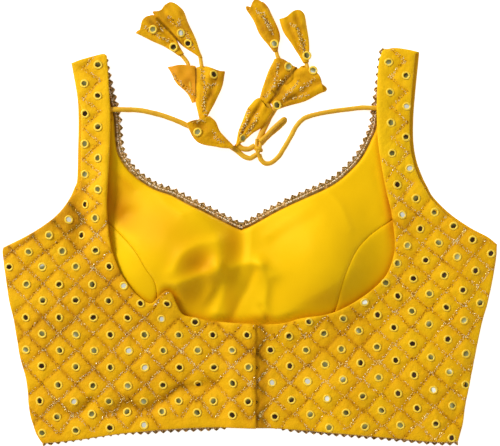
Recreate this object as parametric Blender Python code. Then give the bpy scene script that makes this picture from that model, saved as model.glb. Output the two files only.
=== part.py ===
"""A sleeveless choli blouse laid flat, front face down, with its back up and its tie cords spread above it.

X runs across the garment, Y runs from the hem to the shoulders and Z points up. The origin is the middle of
the blouse's box, on the surface that it lies on. Tables are in millimetres, and meshes are made in metres.
"""

import math
from collections import namedtuple

import bmesh
import bpy
import numpy as np
from mathutils.geometry import delaunay_2d_cdt

MM = 0.001

# Cloth thicknesses and gaps
FRONT_CLOTH = 1.4
LINING_CLOTH = 1.0
BACK_CLOTH = 1.8
LACE_CLOTH = 1.1
LAYER_GAP = 0.5
SEAM_GAP = 0.4
BACK_GAP = 1.1

# Mesh steps
OUTLINE_STEP = 11.0
FLAT_STEP = 20.0
CUP_STEP = 9.5
BACK_STEP = 14.0

# Places that several pieces share
LAP_EDGE_X = 6.0
LAP_WIDTH = 15.0
LAP_SLOPE = 20.0
HOOK_WIRE = 0.8
LAP_LIFT = BACK_CLOTH + HOOK_WIRE + 0.6
LINING_TOP_Y = 118.0
LINING_FOOT_Y = -92.0
LINING_SHOULDER_Y = 34.0
LINING_TRIM = 1.0
LINING_TOP = FRONT_CLOTH + LAYER_GAP + LINING_CLOTH

# Outline of the blouse, x and y along each edge
LEFT_SHOULDER = [(-133, 177.5), (-137.5, 179), (-156, 174), (-166.3, 170)]
LEFT_STRAP = [(-166.3, 170), (-161, 140), (-159.8, 118), (-160.2, 90), (-161, 60)]
LEFT_ARMHOLE = [(-161, 60), (-168, 44.5), (-177.5, 31.5), (-190.5, 20.5), (-208.5, 9.3), (-229.2, -1)]
LEFT_SIDE = [
    (-229.2, -1), (-230.3, -6), (-228, -24), (-224.4, -49), (-219, -74),
    (-214, -104), (-208, -126), (-205.5, -152), (-200.5, -166), (-193, -184),
]
LEFT_HEM = [(-193, -184), (-160, -180.5), (-122, -175), (-73, -170.3), (-32, -168.6), (LAP_EDGE_X, -169.2)]
RIGHT_HEM = [(LAP_EDGE_X, -169.2), (40, -170.8), (75, -173.6), (119, -177.4), (171, -182.2), (194, -182.4)]
RIGHT_SIDE = [
    (194, -182.4), (198.4, -167), (201.8, -145), (207, -119.5), (214.8, -79), (222.6, -50), (229, -17),
    (230.5, 1.9),
]
RIGHT_ARMHOLE = [(230.5, 1.9), (222.5, 8.4), (205.8, 17.2), (187, 30.2), (171.4, 45.6), (162, 62.3)]
RIGHT_STRAP = [(162, 62.3), (156, 79), (153, 97), (153, 120.5), (154.8, 144), (157.2, 168), (158.4, 180.4)]
RIGHT_SHOULDER = [(158.4, 180.4), (147.5, 183), (134.7, 184.6), (124, 182.6)]

# Edge of the back neckline, from the left shoulder to the lap and on to the right shoulder
BACK_NECK_LEFT = [
    (-133, 177.5), (-131.2, 154), (-129.4, 130), (-129.2, 109), (-130, 85), (-131.3, 61), (-132.2, 37),
    (-131, 20), (-128.4, 1), (-121, -21), (-108, -41), (-92.5, -53), (-84, -46.5), (-77, -41),
    (-71.5, -43.5), (-67.5, -53), (-62, -63), (-52, -66), (-30, -70), (LAP_EDGE_X, -72),
]
BACK_NECK_RIGHT = [
    (LAP_EDGE_X - LAP_WIDTH, -72.5), (27, -72), (49, -66.7), (72.5, -63), (91.5, -55), (111.4, -42),
    (126.6, -27), (133.7, -9), (134.7, 3), (134, 14), (131, 34), (126.4, 53), (121.6, 79), (119.2, 97),
    (118, 120), (118.2, 140), (120.3, 170), (124, 182.6),
]

# Edge of the front neckline, with its point between the cups
FRONT_NECK_LEFT = [
    (-140, 175.4), (-135.4, 154), (-129.8, 132), (-126.6, 119), (-125.4, 102), (-123, 87.4), (-117, 76.3),
    (-106.6, 64.6), (-89.8, 53.4), (-72.2, 47), (-58.5, 39.8), (-44.3, 32.9), (-30.3, 25.8), (-15.7, 18.2),
    (-8, 15),
]
FRONT_NECK_RIGHT = [
    (-8, 15), (1.7, 19), (20.6, 29.6), (34.8, 36.9), (53.9, 45.6), (68.3, 52.1), (82.2, 60), (96.7, 72.9),
    (106.2, 84.8), (114.5, 101.4), (118, 110), (120.5, 126.5), (124.1, 150), (128.7, 183.9),
]

# Princess seams, from the armhole over the cup to the hem
LEFT_PRINCESS = [
    (-163, 55.5), (-143.8, 31), (-125.2, 15.8), (-107, -3), (-95.5, -21), (-87, -35), (-86, -56), (-90, -92),
    (-94.5, -134), (-97.3, -171),
]
RIGHT_PRINCESS = [
    (165.5, 56), (149.2, 37), (131.5, 23.3), (113.3, 11), (99, -3.5), (89.7, -22), (85, -36), (81.3, -54),
    (75, -79), (70, -125), (67.3, -171.3),
]

# Front hem where it hides under the back and where its lace peeps out
FRONT_HEM_RIGHT = [(67.3, -172.5), (119, -176.8), (171, -181.6), (194, -181.9)]
FRONT_HEM_CENTRE = [
    (-97.3, -171.8), (-73, -170), (-32, -168.3), (-14, -165.5), (20, -166), (40, -169.8), (67.3, -172.5),
]
FRONT_HEM_LEFT = [(-193, -183), (-160, -178), (-122, -172.5), (-97.3, -171.8)]

Cup = namedtuple("Cup", "x y half_width half_length height")
CUPS = [Cup(-75, -5, 68, 74, 20), Cup(66, -6, 73, 76, 22)]

# Soft ridges and troughs: both ends of the line, how wide it is and how high, below zero for a trough
Crease = namedtuple("Crease", "x0 y0 x1 y1 width height")
LINING_CREASES = [
    Crease(-32, -20, -38, -60, 8, 3.4),
    Crease(-15, -28, -17, -58, 7, -1.2),
    Crease(5, -18, -1, -58, 8, 3.6),
    Crease(-62, -32, -28, -22, 8, 1.6),
    Crease(-118, 30, -106, 29, 9, -2.0),
]
BACK_CREASES = [
    Crease(-157, 54, -157, 10, 7, -0.9),
    Crease(-145, 50, -146, 4, 8, 1.6),
    Crease(-170, 26, -171, 0, 9, 1.3),
    Crease(-172, -155, -150, -150, 7, -1.4),
    Crease(-130, -154, -90, -148, 7, -1.6),
    Crease(-82, -143, -34, -128, 8, -1.4),
]
BILLOWS = [Crease(-165, -60, -120, -120, 42, 2.0), Crease(165, -60, 110, -125, 42, 2.2)]

# Where the cups start to count as raised, where their creases are full, and how far seams and neckline reach
CUP_EDGE = 0.1
CREASE_START = 3.0
SIDE_FALL = 24.0
SHOULDER_FALL = (136.0, 166.0)
NECK_LIFT = 2.6
NECK_LIFT_WIDTH = 17.0

# How far the front's plain edge shows past the back, along each strap and armhole
LEFT_REVEAL = (0.7, 3.3)
LEFT_REVEAL_SPAN = (54.0, 128.0)
RIGHT_REVEAL = (2.8, 3.7)
RIGHT_REVEAL_SPAN = (66.0, 190.0)
REVEAL_FADE = 10.0

# Scalloped lace: distance between points, its width in the hollows and at the points
LACE_PITCH = 7.1
LACE_WIDTH = (4.8, 7.4)
HEM_LACE_WIDTH = (1.6, 4.0)
POINT_LACE_WIDTH = 4.6

# Cords and cloth bells
CORD = 3.7
STRING = 2.4
BELL_WALL = 1.0
BELL_SIDES = 10
FLOOR_GAP = 0.3
ON_FLOOR = FLOOR_GAP + CORD / 2
ON_FRONT = FRONT_CLOTH + FLOOR_GAP + CORD / 2
TIE_LEFT = [
    (-135, 127, ON_FRONT), (-124, 127.1, ON_FRONT), (-113, 127, 2.6), (-102, 126.5, ON_FLOOR),
    (-90, 124, ON_FLOOR), (-78, 120.6, ON_FLOOR), (-66, 116, ON_FLOOR), (-56, 111.5, ON_FLOOR),
    (-44, 106.2, ON_FLOOR), (-32, 100.4, ON_FLOOR), (-22, 95.2, ON_FLOOR), (-13, 89.6, ON_FLOOR),
    (-6, 84, ON_FLOOR), (0.2, 81.8, ON_FLOOR), (4, 83.6, ON_FLOOR),
]
TIE_RIGHT = [
    (127, 128.2, ON_FRONT), (116, 128.5, ON_FRONT), (104, 128.8, 2.6), (92, 127.4, ON_FLOOR),
    (80, 126, ON_FLOOR), (69, 124.2, ON_FLOOR), (57, 121.4, ON_FLOOR), (49.5, 118, ON_FLOOR),
    (43.5, 111.5, ON_FLOOR), (38.4, 102, ON_FLOOR), (33, 92.6, ON_FLOOR), (27, 83.4, ON_FLOOR),
    (20.5, 77.8, ON_FLOOR), (14.6, 77, ON_FLOOR), (10.8, 80, ON_FLOOR), (9.6, 83, ON_FLOOR),
]
BOW_STEM = [
    (8.4, 97.4, ON_FLOOR), (11, 104, ON_FLOOR), (15, 113, ON_FLOOR), (19, 121, ON_FLOOR),
    (23.6, 128.4, ON_FLOOR),
]
BOW_EAR = [
    (12.4, 96.6, 2.6), (16, 102.4, ON_FLOOR), (21.8, 108.4, ON_FLOOR), (28.6, 114, ON_FLOOR),
    (33.2, 118.6, ON_FLOOR), (33.8, 122, ON_FLOOR), (30.6, 122.6, ON_FLOOR), (25.6, 118, ON_FLOOR),
    (20, 112.4, 3.4), (14.6, 105.2, 5.8), (10.4, 98.4, 6.0),
]
BOW_TAIL = [(2.9, 92.4, ON_FLOOR), (-1, 90.4, ON_FLOOR), (-6, 90.6, ON_FLOOR), (-10, 93.2, ON_FLOOR)]
KNOT = (7.4, 89.8, 3.9)
KNOT_RADII = (3.9, 7.0, 3.5)

# A bell lies flat: its sides in plan from the tip to the mouth, heights of its underside at tip and mouth,
# how high it stands, and how far its lips stand out past the corners of its mouth
Bell = namedtuple("Bell", "sides tip_z mouth_z height crown")
Sides = namedtuple("Sides", "ax ay bx by")
BELLS = {
    "latkan_l1": Bell([
        Sides(-16.5, 91, -15.5, 93.5), Sides(-28.5, 92.5, -26, 103.5), Sides(-46, 97, -31.5, 112),
        Sides(-57.5, 112.5, -37, 119.5),
    ], 4.6, 4.6, 8, 2),
    "latkan_l2": Bell([
        Sides(-46, 118.2, -39, 121.6), Sides(-49, 133, -32.5, 134), Sides(-48.5, 149, -27.5, 148),
        Sides(-50, 165.5, -23.5, 161.5),
    ], 5.4, FLOOR_GAP, 8.5, 2),
    "latkan_l3": Bell([
        Sides(-54, 134.5, -50.5, 135.5), Sides(-58, 143, -49.1, 144), Sides(-66.5, 152, -49.1, 154),
        Sides(-75, 166, -51.2, 167),
    ], FLOOR_GAP, FLOOR_GAP, 7.5, 1.5),
    "latkan_l4": Bell([
        Sides(-67.5, 178, -62, 180), Sides(-79, 187, -71, 194), Sides(-91.5, 192, -80, 204.5),
        Sides(-102.5, 197.5, -87.5, 213),
    ], FLOOR_GAP, FLOOR_GAP, 8, 5),
    "latkan_l5": Bell([
        Sides(-47.5, 176.5, -44.5, 176.5), Sides(-61.5, 187.5, -52, 193.5), Sides(-76.5, 202.5, -57.5, 206.5),
        Sides(-86, 214.5, -65, 220.5),
    ], FLOOR_GAP, FLOOR_GAP, 9, 7),
    "latkan_r1": Bell([
        Sides(-12.5, 93.5, -10, 94.5), Sides(-8.5, 109.5, 0.5, 104), Sides(-2, 124, 11, 112),
        Sides(3.5, 133, 19, 123),
    ], FLOOR_GAP, FLOOR_GAP, 8.5, 6),
    "latkan_r2": Bell([
        Sides(9.7, 136.5, 15.7, 132.5), Sides(14, 150.5, 26, 143.5), Sides(20, 163.5, 36, 155),
        Sides(24, 174, 43.5, 165.5),
    ], FLOOR_GAP, FLOOR_GAP, 8, 2),
    "latkan_r3": Bell([
        Sides(22, 132.5, 26, 127.5), Sides(32.5, 146, 41, 133), Sides(41, 157.5, 55.5, 138.5),
        Sides(48.5, 166.5, 69, 144),
    ], FLOOR_GAP, FLOOR_GAP, 8.5, 5),
    "latkan_r4": Bell([
        Sides(21.5, 182, 26, 183), Sides(12.5, 194.5, 27, 194.5), Sides(5.5, 208, 22, 210.5),
        Sides(-0.5, 217.5, 17, 220),
    ], FLOOR_GAP, FLOOR_GAP, 8.5, 8),
    "latkan_r5": Bell([
        Sides(49.5, 171.5, 55, 172.5), Sides(41.5, 187, 54, 187.5), Sides(32.5, 199, 53, 200.5),
        Sides(30, 209.5, 49, 216),
    ], FLOOR_GAP, FLOOR_GAP, 8.5, 4),
}
BELL_TIP_RADIUS = 2.3
STRINGS = {
    "string_l4": [
        (-63.8, 178.2, 2.6), (-59.5, 173.2, 3), (-57, 168.5, 3.6), (-56.5, 162, 3.8), (-56, 155, 3.6),
        (-54.8, 147, 3.3),
    ],
    "string_l5": [
        (-46, 175.7, 2.6), (-45, 170, 3.8), (-44, 164.5, 4.6), (-42.5, 158, 4.9), (-41, 150, 5.5),
        (-40.4, 144, 5.8),
    ],
    "string_r4": [
        (24.6, 182, 2.6), (26, 176.8, 3.6), (29, 171, 4.2), (29.6, 165, 4.2), (27, 159, 3.8), (23, 151, 3.5),
    ],
    "string_r5": [
        (52.5, 171.4, 2.6), (53.6, 167, 3.6), (55, 162.6, 4.3), (55.5, 157, 4.4), (52, 151, 4.1),
        (43.5, 144, 3.7),
    ],
}

HOOKS = {"hook_upper": -113.0, "hook_lower": -145.0}
HOOK_LENGTH = 9.0
HOOK_HALF_WIDTH = 1.3
HOOK_BEND = 2.0
HOOK_PAST_EDGE = 1.4
HOOK_GAP = 0.3

Finish = namedtuple("Finish", "colour roughness metallic")
FINISHES = {
    "embroidered_cloth": Finish((0.77, 0.38, 0.01), 0.65, 0.0),
    "satin_lining": Finish((0.86, 0.53, 0.01), 0.45, 0.0),
    "bead_lace": Finish((0.45, 0.30, 0.12), 0.4, 0.6),
    "cord_cloth": Finish((0.80, 0.42, 0.02), 0.6, 0.0),
    "hook_steel": Finish((0.20, 0.19, 0.18), 0.35, 1.0),
}


def clear_scene():
    for obj in list(bpy.data.objects):
        bpy.data.objects.remove(obj, do_unlink=True)


def finish(name):
    """The Principled material of that name, made on first use."""
    if name in bpy.data.materials:
        return bpy.data.materials[name]
    look = FINISHES[name]
    material = bpy.data.materials.new(name)
    material.use_nodes = True
    shader = material.node_tree.nodes["Principled BSDF"]
    shader.inputs["Base Color"].default_value = (*look.colour, 1.0)
    shader.inputs["Roughness"].default_value = look.roughness
    shader.inputs["Metallic"].default_value = look.metallic
    return material


def smooth_step(value, start, end):
    t = np.clip((value - start) / (end - start), 0.0, 1.0)
    return t * t * (3.0 - 2.0 * t)


def smooth_curve(points, step):
    """Points a step apart along a smooth curve through the given ones, in two or three dimensions."""
    points = np.array(points, float)
    before = 2 * points[0] - points[1]
    after = 2 * points[-1] - points[-2]
    knots = np.vstack([before, points, after])
    dense = []
    for a, b, c, d in zip(knots, knots[1:], knots[2:], knots[3:]):
        for t in np.linspace(0.0, 1.0, 12, endpoint=False):
            bend = (2 * a - 5 * b + 4 * c - d) * t**2 + (3 * b - a - 3 * c + d) * t**3
            dense.append(0.5 * (2 * b + (c - a) * t + bend))
    dense = np.array([*dense, points[-1]])
    along = np.concatenate([[0.0], np.cumsum(np.linalg.norm(np.diff(dense, axis=0), axis=1))])
    count = max(2, round(along[-1] / step) + 1)
    places = np.linspace(0.0, along[-1], count)
    return np.column_stack([np.interp(places, along, column) for column in dense.T])


def side_normals(curve):
    """Unit vectors to the left of a plan curve at each of its points."""
    along = np.gradient(curve, axis=0)
    along /= np.linalg.norm(along, axis=1)[:, None]
    return np.column_stack([-along[:, 1], along[:, 0]])


def moved_aside(curve, distance):
    """The plan curve moved to its left by a distance, one number or one for each point."""
    return curve + side_normals(curve) * np.reshape(distance, (-1, 1))


def between(curve, low_y, high_y):
    """The stretch of a plan curve whose points lie between two heights on the page."""
    return curve[(curve[:, 1] >= low_y) & (curve[:, 1] <= high_y)]


def distance_to(curve, x, y):
    """Shortest distance in plan from each point to a curve given by close points."""
    flat = np.column_stack([np.ravel(x), np.ravel(y)])
    gaps = np.linalg.norm(flat[:, None, :] - curve[None, :, :], axis=2)
    return gaps.min(axis=1).reshape(np.shape(x))


def crease_heights(creases, x, y):
    """Sum of soft ridges and troughs, each fading away on both sides of its line."""
    total = np.zeros(np.shape(x))
    for crease in creases:
        along = np.array([crease.x1 - crease.x0, crease.y1 - crease.y0])
        t = ((x - crease.x0) * along[0] + (y - crease.y0) * along[1]) / (along @ along)
        t = np.clip(t, 0.0, 1.0)
        off = np.hypot(x - crease.x0 - t * along[0], y - crease.y0 - t * along[1])
        total = total + crease.height * np.exp(-((off / crease.width) ** 2))
    return total


def cup_heights(x, y):
    """The two cups, pushed in so that they swell upwards, and zero round them."""
    total = np.zeros(np.shape(x))
    for cup in CUPS:
        reach = np.hypot((x - cup.x) / cup.half_width, (y - cup.y) / cup.half_length)
        total = total + cup.height * 0.5 * (1.0 + np.cos(math.pi * np.clip(reach, 0.0, 1.0)))
    return total


def front_bottom(x, y):
    """Underside of the front: flat where it rests, raised under the cups and their creases."""
    cups = cup_heights(x, y)
    creases = crease_heights(LINING_CREASES, x, y) * smooth_step(cups, CUP_EDGE, CREASE_START)
    return np.maximum(cups + creases, 0.0)


def lining_bottom(x, y):
    return front_bottom(x, y) + FRONT_CLOTH + LAYER_GAP


NECK_PATH = smooth_curve(BACK_NECK_LEFT + BACK_NECK_RIGHT[1:], 3.0)


def back_bottom(x, y):
    """Underside of the back: over the cups, lifted at its neckline, down to the front at its outer seams."""
    lift = NECK_LIFT * np.exp(-((distance_to(NECK_PATH, x, y) / NECK_LIFT_WIDTH) ** 2))
    high = LINING_TOP + BACK_GAP + cup_heights(x, y) + lift
    high += crease_heights(BILLOWS, x, y) + crease_heights(BACK_CREASES, x, y) * (1.0 - lift / NECK_LIFT)
    left = np.array(LEFT_SIDE[::-1])
    right = np.array(RIGHT_SIDE)
    inside = np.minimum(x - np.interp(y, left[:, 1], left[:, 0]), np.interp(y, right[:, 1], right[:, 0]) - x)
    joined = smooth_step(inside, 0.0, SIDE_FALL) * (1.0 - smooth_step(y, *SHOULDER_FALL))
    seam = FRONT_CLOTH + SEAM_GAP
    return seam + (high - seam) * joined


def left_back_bottom(x, y):
    """The left back rises over the right one where it laps it."""
    ramp = smooth_step(x, LAP_EDGE_X - LAP_WIDTH - LAP_SLOPE, LAP_EDGE_X - LAP_WIDTH - 4.0)
    return back_bottom(x, y) + LAP_LIFT * ramp


def outline_of(runs):
    """A closed plan outline from edges that follow each other, without repeated corners."""
    return np.vstack([run[:-1] for run in runs])


def lattice(low, high, step):
    """Points of a triangular lattice over a rectangle."""
    rows = []
    height = step * math.sqrt(3) / 2
    for row in range(math.floor(low[1] / height), math.ceil(high[1] / height) + 1):
        shift = 0.5 * step * (row % 2)
        columns = np.arange(math.floor(low[0] / step), math.ceil(high[0] / step) + 1) * step + shift
        rows.append(np.column_stack([columns, np.full(len(columns), row * height)]))
    return np.vstack(rows)


def inside_outline(points, outline):
    """Which plan points lie inside an outline, by counting the edges that a ray crosses."""
    x, y = points[:, 0:1], points[:, 1:2]
    ax, ay = outline[:, 0], outline[:, 1]
    bx, by = np.roll(ax, -1), np.roll(ay, -1)
    crosses = (ay > y) != (by > y)
    rise = np.where(by == ay, 1.0, by - ay)
    at = ax + (y - ay) / rise * (bx - ax)
    return (crosses & (x < at)).sum(axis=1) % 2 == 1


def cup_area(points):
    return cup_heights(points[:, 0], points[:, 1]) > CUP_EDGE


def front_lattice(low, high):
    """Close points over the cups and wide ones on the flat cloth round them."""
    fine = lattice(low, high, CUP_STEP)
    coarse = lattice(low, high, FLAT_STEP)
    return np.vstack([fine[cup_area(fine)], coarse[~cup_area(coarse)]])


def back_lattice(low, high):
    return lattice(low, high, BACK_STEP)


def triangulated(outline, inner_points):
    """Plan points and triangles that fill an outline, facing up."""
    close = distance_to(along_edges(outline), inner_points[:, 0], inner_points[:, 1]) < CUP_STEP / 2
    inner = inner_points[inside_outline(inner_points, outline) & ~close]
    count = len(outline)
    edges = [(i, (i + 1) % count) for i in range(count)]
    corners = [tuple(point) for point in np.vstack([outline, inner])]
    points, _, faces, *_ = delaunay_2d_cdt(corners, edges, [], 1, 1e-6)
    return np.array([tuple(point) for point in points]), faces


def along_edges(outline):
    """Close points along the straight sides of an outline, for measuring distances to it."""
    ends = np.roll(outline, -1, axis=0)
    shares = np.linspace(0.0, 1.0, 6, endpoint=False)[:, None, None]
    return (outline + (ends - outline) * shares).reshape(-1, 2)


def add_object(name, mesh, finish_name):
    obj = bpy.data.objects.new(name, mesh)
    bpy.context.collection.objects.link(obj)
    obj.data.materials.append(finish(finish_name))
    return obj


def wall_mesh(name, points, faces, bottom_z, top_z):
    """A closed wall between two height lists over one plan mesh whose faces point up."""
    count = len(points)
    corners = [(x * MM, y * MM, z * MM) for (x, y), z in zip(points, top_z)]
    corners += [(x * MM, y * MM, z * MM) for (x, y), z in zip(points, bottom_z)]
    sides = {(a, b) for face in faces for a, b in zip(face, [*face[1:], face[0]])}
    rim = [(b, a, a + count, b + count) for a, b in sorted(sides) if (b, a) not in sides]
    under = [tuple(index + count for index in reversed(face)) for face in faces]
    mesh = bpy.data.meshes.new(name)
    mesh.from_pydata(corners, [], [tuple(face) for face in faces] + under + rim)
    mesh.validate()
    return mesh


def cloth_panel(name, runs, lattice_of, bottom, thickness, finish_name):
    """A cloth wall over an outline, with its underside at the height that bottom gives."""
    outline = outline_of(runs)
    area = np.sum(outline[:, 0] * np.roll(outline[:, 1], -1) - outline[:, 1] * np.roll(outline[:, 0], -1))
    if area < 0:
        outline = outline[::-1]
    inner = lattice_of(outline.min(axis=0), outline.max(axis=0))
    points, faces = triangulated(outline, inner)
    low = bottom(points[:, 0], points[:, 1])
    mesh = wall_mesh(name, points, faces, low, low + thickness)
    return add_object(name, mesh, finish_name)


def edge(points):
    return smooth_curve(points, OUTLINE_STEP)


def fading_reveal(y, amounts, span):
    """Reveal that grows from the first amount to the second inside a span of y."""
    start = smooth_step(y, span[0] - REVEAL_FADE, span[0])
    end = smooth_step(y, span[1], span[1] + REVEAL_FADE)
    return amounts[0] + (amounts[1] - amounts[0]) * start * (1.0 - end)


def make_backs():
    """Two back panels with their straps, drawn a little inside the front's edge, which shows past them."""
    left_outer = smooth_curve(LEFT_STRAP[:-1] + LEFT_ARMHOLE, OUTLINE_STEP)
    reveal = fading_reveal(left_outer[:, 1], LEFT_REVEAL, LEFT_REVEAL_SPAN)
    left_outer[1:-1] = moved_aside(left_outer, reveal)[1:-1]
    lap = np.array([(LAP_EDGE_X, LEFT_HEM[-1][1]), (LAP_EDGE_X, BACK_NECK_LEFT[-1][1])])
    lap = smooth_curve(lap, OUTLINE_STEP)
    runs = [edge(LEFT_SHOULDER), left_outer, edge(LEFT_SIDE), edge(LEFT_HEM), lap, edge(BACK_NECK_LEFT[::-1])]
    cloth_panel("back_left", runs, back_lattice, left_back_bottom, BACK_CLOTH, "embroidered_cloth")

    right_outer = smooth_curve(RIGHT_ARMHOLE[:-1] + RIGHT_STRAP, OUTLINE_STEP)
    reveal = fading_reveal(right_outer[:, 1], RIGHT_REVEAL, RIGHT_REVEAL_SPAN)
    right_outer[1:-1] = moved_aside(right_outer, reveal)[1:-1]
    under_x = LAP_EDGE_X - LAP_WIDTH
    hem = [(under_x, RIGHT_HEM[0][1]), *RIGHT_HEM]
    lap = smooth_curve([(under_x, BACK_NECK_RIGHT[0][1]), (under_x, RIGHT_HEM[0][1])], OUTLINE_STEP)
    runs = [lap, edge(hem), edge(RIGHT_SIDE), right_outer, edge(RIGHT_SHOULDER), edge(BACK_NECK_RIGHT[::-1])]
    cloth_panel("back_right", runs, back_lattice, back_bottom, BACK_CLOTH, "embroidered_cloth")


def princess(points, side):
    """A princess seam's curve moved half a seam gap to one side, with its ends kept."""
    curve = smooth_curve(points, CUP_STEP)
    return moved_aside(curve, side * SEAM_GAP / 2)


def front_panel(name, runs):
    cloth_panel(name, runs, front_lattice, front_bottom, FRONT_CLOTH, "embroidered_cloth")


def make_fronts():
    """The front in three pieces that meet along the princess seams."""
    left_strap = [*LEFT_STRAP[:-1], (-161, 62), LEFT_PRINCESS[0]]
    right_strap = [RIGHT_PRINCESS[0], (161.5, 64), *RIGHT_STRAP[1:]]
    runs = [
        edge([LEFT_STRAP[0], FRONT_NECK_LEFT[0]]),
        smooth_curve(FRONT_NECK_LEFT, CUP_STEP),
        smooth_curve(FRONT_NECK_RIGHT, CUP_STEP),
        edge([FRONT_NECK_RIGHT[-1], (147.5, 183), RIGHT_STRAP[-1]]),
        edge(right_strap[::-1]),
        princess(RIGHT_PRINCESS, -1),
        edge(FRONT_HEM_CENTRE[::-1]),
        princess(LEFT_PRINCESS, 1)[::-1],
        edge(left_strap[::-1]),
    ]
    front_panel("front_centre", runs)

    runs = [
        edge([LEFT_PRINCESS[0], *LEFT_ARMHOLE[1:]]),
        edge(LEFT_SIDE[:-1] + [FRONT_HEM_LEFT[0]]),
        edge(FRONT_HEM_LEFT),
        princess(LEFT_PRINCESS, -1)[::-1],
    ]
    front_panel("front_side_left", runs)

    runs = [
        princess(RIGHT_PRINCESS, 1),
        edge(FRONT_HEM_RIGHT),
        edge([FRONT_HEM_RIGHT[-1], *RIGHT_SIDE[1:]]),
        edge([*RIGHT_ARMHOLE[:-1], RIGHT_PRINCESS[0]]),
    ]
    front_panel("front_side_right", runs)


def lining_edge(points):
    """The lining's edge, drawn in from the front neckline, below the height where it is covered."""
    curve = moved_aside(smooth_curve(points, CUP_STEP), -LINING_TRIM)
    return curve[curve[:, 1] <= LINING_TOP_Y]


def lining_panel(name, runs):
    cloth_panel(name, runs, front_lattice, lining_bottom, LINING_CLOTH, "satin_lining")


def make_linings():
    """The lining where it shows through the back neckline, and a little way under the back all round."""
    left_seam = between(princess(LEFT_PRINCESS, 1), LINING_FOOT_Y, LINING_SHOULDER_Y)
    right_seam = between(princess(RIGHT_PRINCESS, -1), LINING_FOOT_Y, LINING_SHOULDER_Y)
    left_neck = lining_edge(FRONT_NECK_LEFT)
    right_neck = lining_edge(FRONT_NECK_RIGHT)
    point = np.array([(FRONT_NECK_LEFT[-1][0], FRONT_NECK_LEFT[-1][1] - LINING_TRIM)])
    left_strap = smooth_curve([left_seam[0], (-152, 60), (-152, 90), (-151, LINING_TOP_Y)], OUTLINE_STEP)
    right_strap = smooth_curve([(145, LINING_TOP_Y), (145, 95), (147, 65), right_seam[0]], OUTLINE_STEP)
    runs = [
        left_strap,
        np.vstack([left_strap[-1], left_neck[:-1], point]),
        np.vstack([point, right_neck[1:], right_strap[0]]),
        right_strap,
        right_seam,
        smooth_curve([right_seam[-1], left_seam[-1]], OUTLINE_STEP),
        left_seam[::-1],
    ]
    lining_panel("lining_centre", runs)

    left_seam = between(princess(LEFT_PRINCESS, -1), LINING_FOOT_Y, LINING_SHOULDER_Y)
    hidden = edge([left_seam[-1], (-122, -76), (-146, -52), (-160, -25), (-163, 2), (-157, 24), left_seam[0]])
    lining_panel("lining_side_left", [left_seam, hidden])

    right_seam = between(princess(RIGHT_PRINCESS, 1), LINING_FOOT_Y, LINING_SHOULDER_Y)
    hidden = edge([right_seam[-1], (112, -84), (140, -66), (158, -36), (165, 0), (160, 24), right_seam[0]])
    lining_panel("lining_side_right", [right_seam, hidden])


def lace_strip(name, edges, widths, corner_width):
    """Lace along one or two edge curves, its outer side rising and falling to points and hollows.

    It lies to the left of the curves. Where two curves meet, one point stands on the corner between them.
    """
    inner = []
    outer = []
    for number, points in enumerate(edges):
        curve = smooth_curve(points, LACE_PITCH / 2)
        normals = side_normals(curve)
        places = np.arange(len(curve))
        if number == 0:
            places = places[::-1]
        reach = np.where(places % 2 == 0, widths[1], widths[0])
        inner.append(curve + normals * SEAM_GAP)
        outer.append(curve + normals * (SEAM_GAP + reach)[:, None])
        if number == 1:
            middle = normals[0] + last_normal
            middle /= np.linalg.norm(middle)
            inner[1][0] = curve[0] + middle * SEAM_GAP
            outer[1][0] = curve[0] + middle * (SEAM_GAP + corner_width)
            inner[0] = inner[0][:-1]
            outer[0] = outer[0][:-1]
        last_normal = normals[-1]
    inner = np.vstack(inner)
    outer = np.vstack(outer)
    points = np.vstack([inner, outer])
    count = len(inner)
    faces = [(i, i + 1, count + i + 1, count + i) for i in range(count - 1)]
    low = front_bottom(points[:, 0], points[:, 1])
    add_object(name, wall_mesh(name, points, faces, low, low + LACE_CLOTH), "bead_lace")


def tube(name, points, diameter, step, finish_name):
    """A round cord with filled ends along a smooth curve."""
    path = smooth_curve(points, step) * MM
    curve = bpy.data.curves.new(name, "CURVE")
    curve.dimensions = "3D"
    curve.bevel_depth = diameter / 2 * MM
    curve.bevel_resolution = 2
    curve.use_fill_caps = True
    spline = curve.splines.new("POLY")
    spline.points.add(len(path) - 1)
    for point, place in zip(spline.points, path):
        point.co = (*place, 1.0)
    obj = bpy.data.objects.new(name, curve)
    bpy.context.collection.objects.link(obj)
    curve.materials.append(finish(finish_name))
    return obj


def bell_ring(bell, station, shrink):
    """One ring of a flattened cone at a station of its sides, drawn in by a wall where asked."""
    share = station / (len(bell.sides) - 1)
    middles = [np.array([(side.ax + side.bx) / 2, (side.ay + side.by) / 2]) for side in bell.sides]
    along = middles[-1] - middles[0]
    along /= np.linalg.norm(along)
    side = bell.sides[station]
    half = np.array([side.bx - side.ax, side.by - side.ay]) / 2
    half *= 1.0 - shrink / np.linalg.norm(half)
    low = bell.tip_z + (bell.mouth_z - bell.tip_z) * share
    rise = BELL_TIP_RADIUS + (bell.height / 2 - BELL_TIP_RADIUS) * share
    lips = bell.crown if station == len(bell.sides) - 1 else 0.0
    ring = []
    for number in range(BELL_SIDES):
        turn = 2 * math.pi * number / BELL_SIDES
        place = middles[station] + half * math.cos(turn) + along * lips * abs(math.sin(turn))
        ring.append((place[0] * MM, place[1] * MM, (low + rise + (rise - shrink) * math.sin(turn)) * MM))
    return ring


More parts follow.
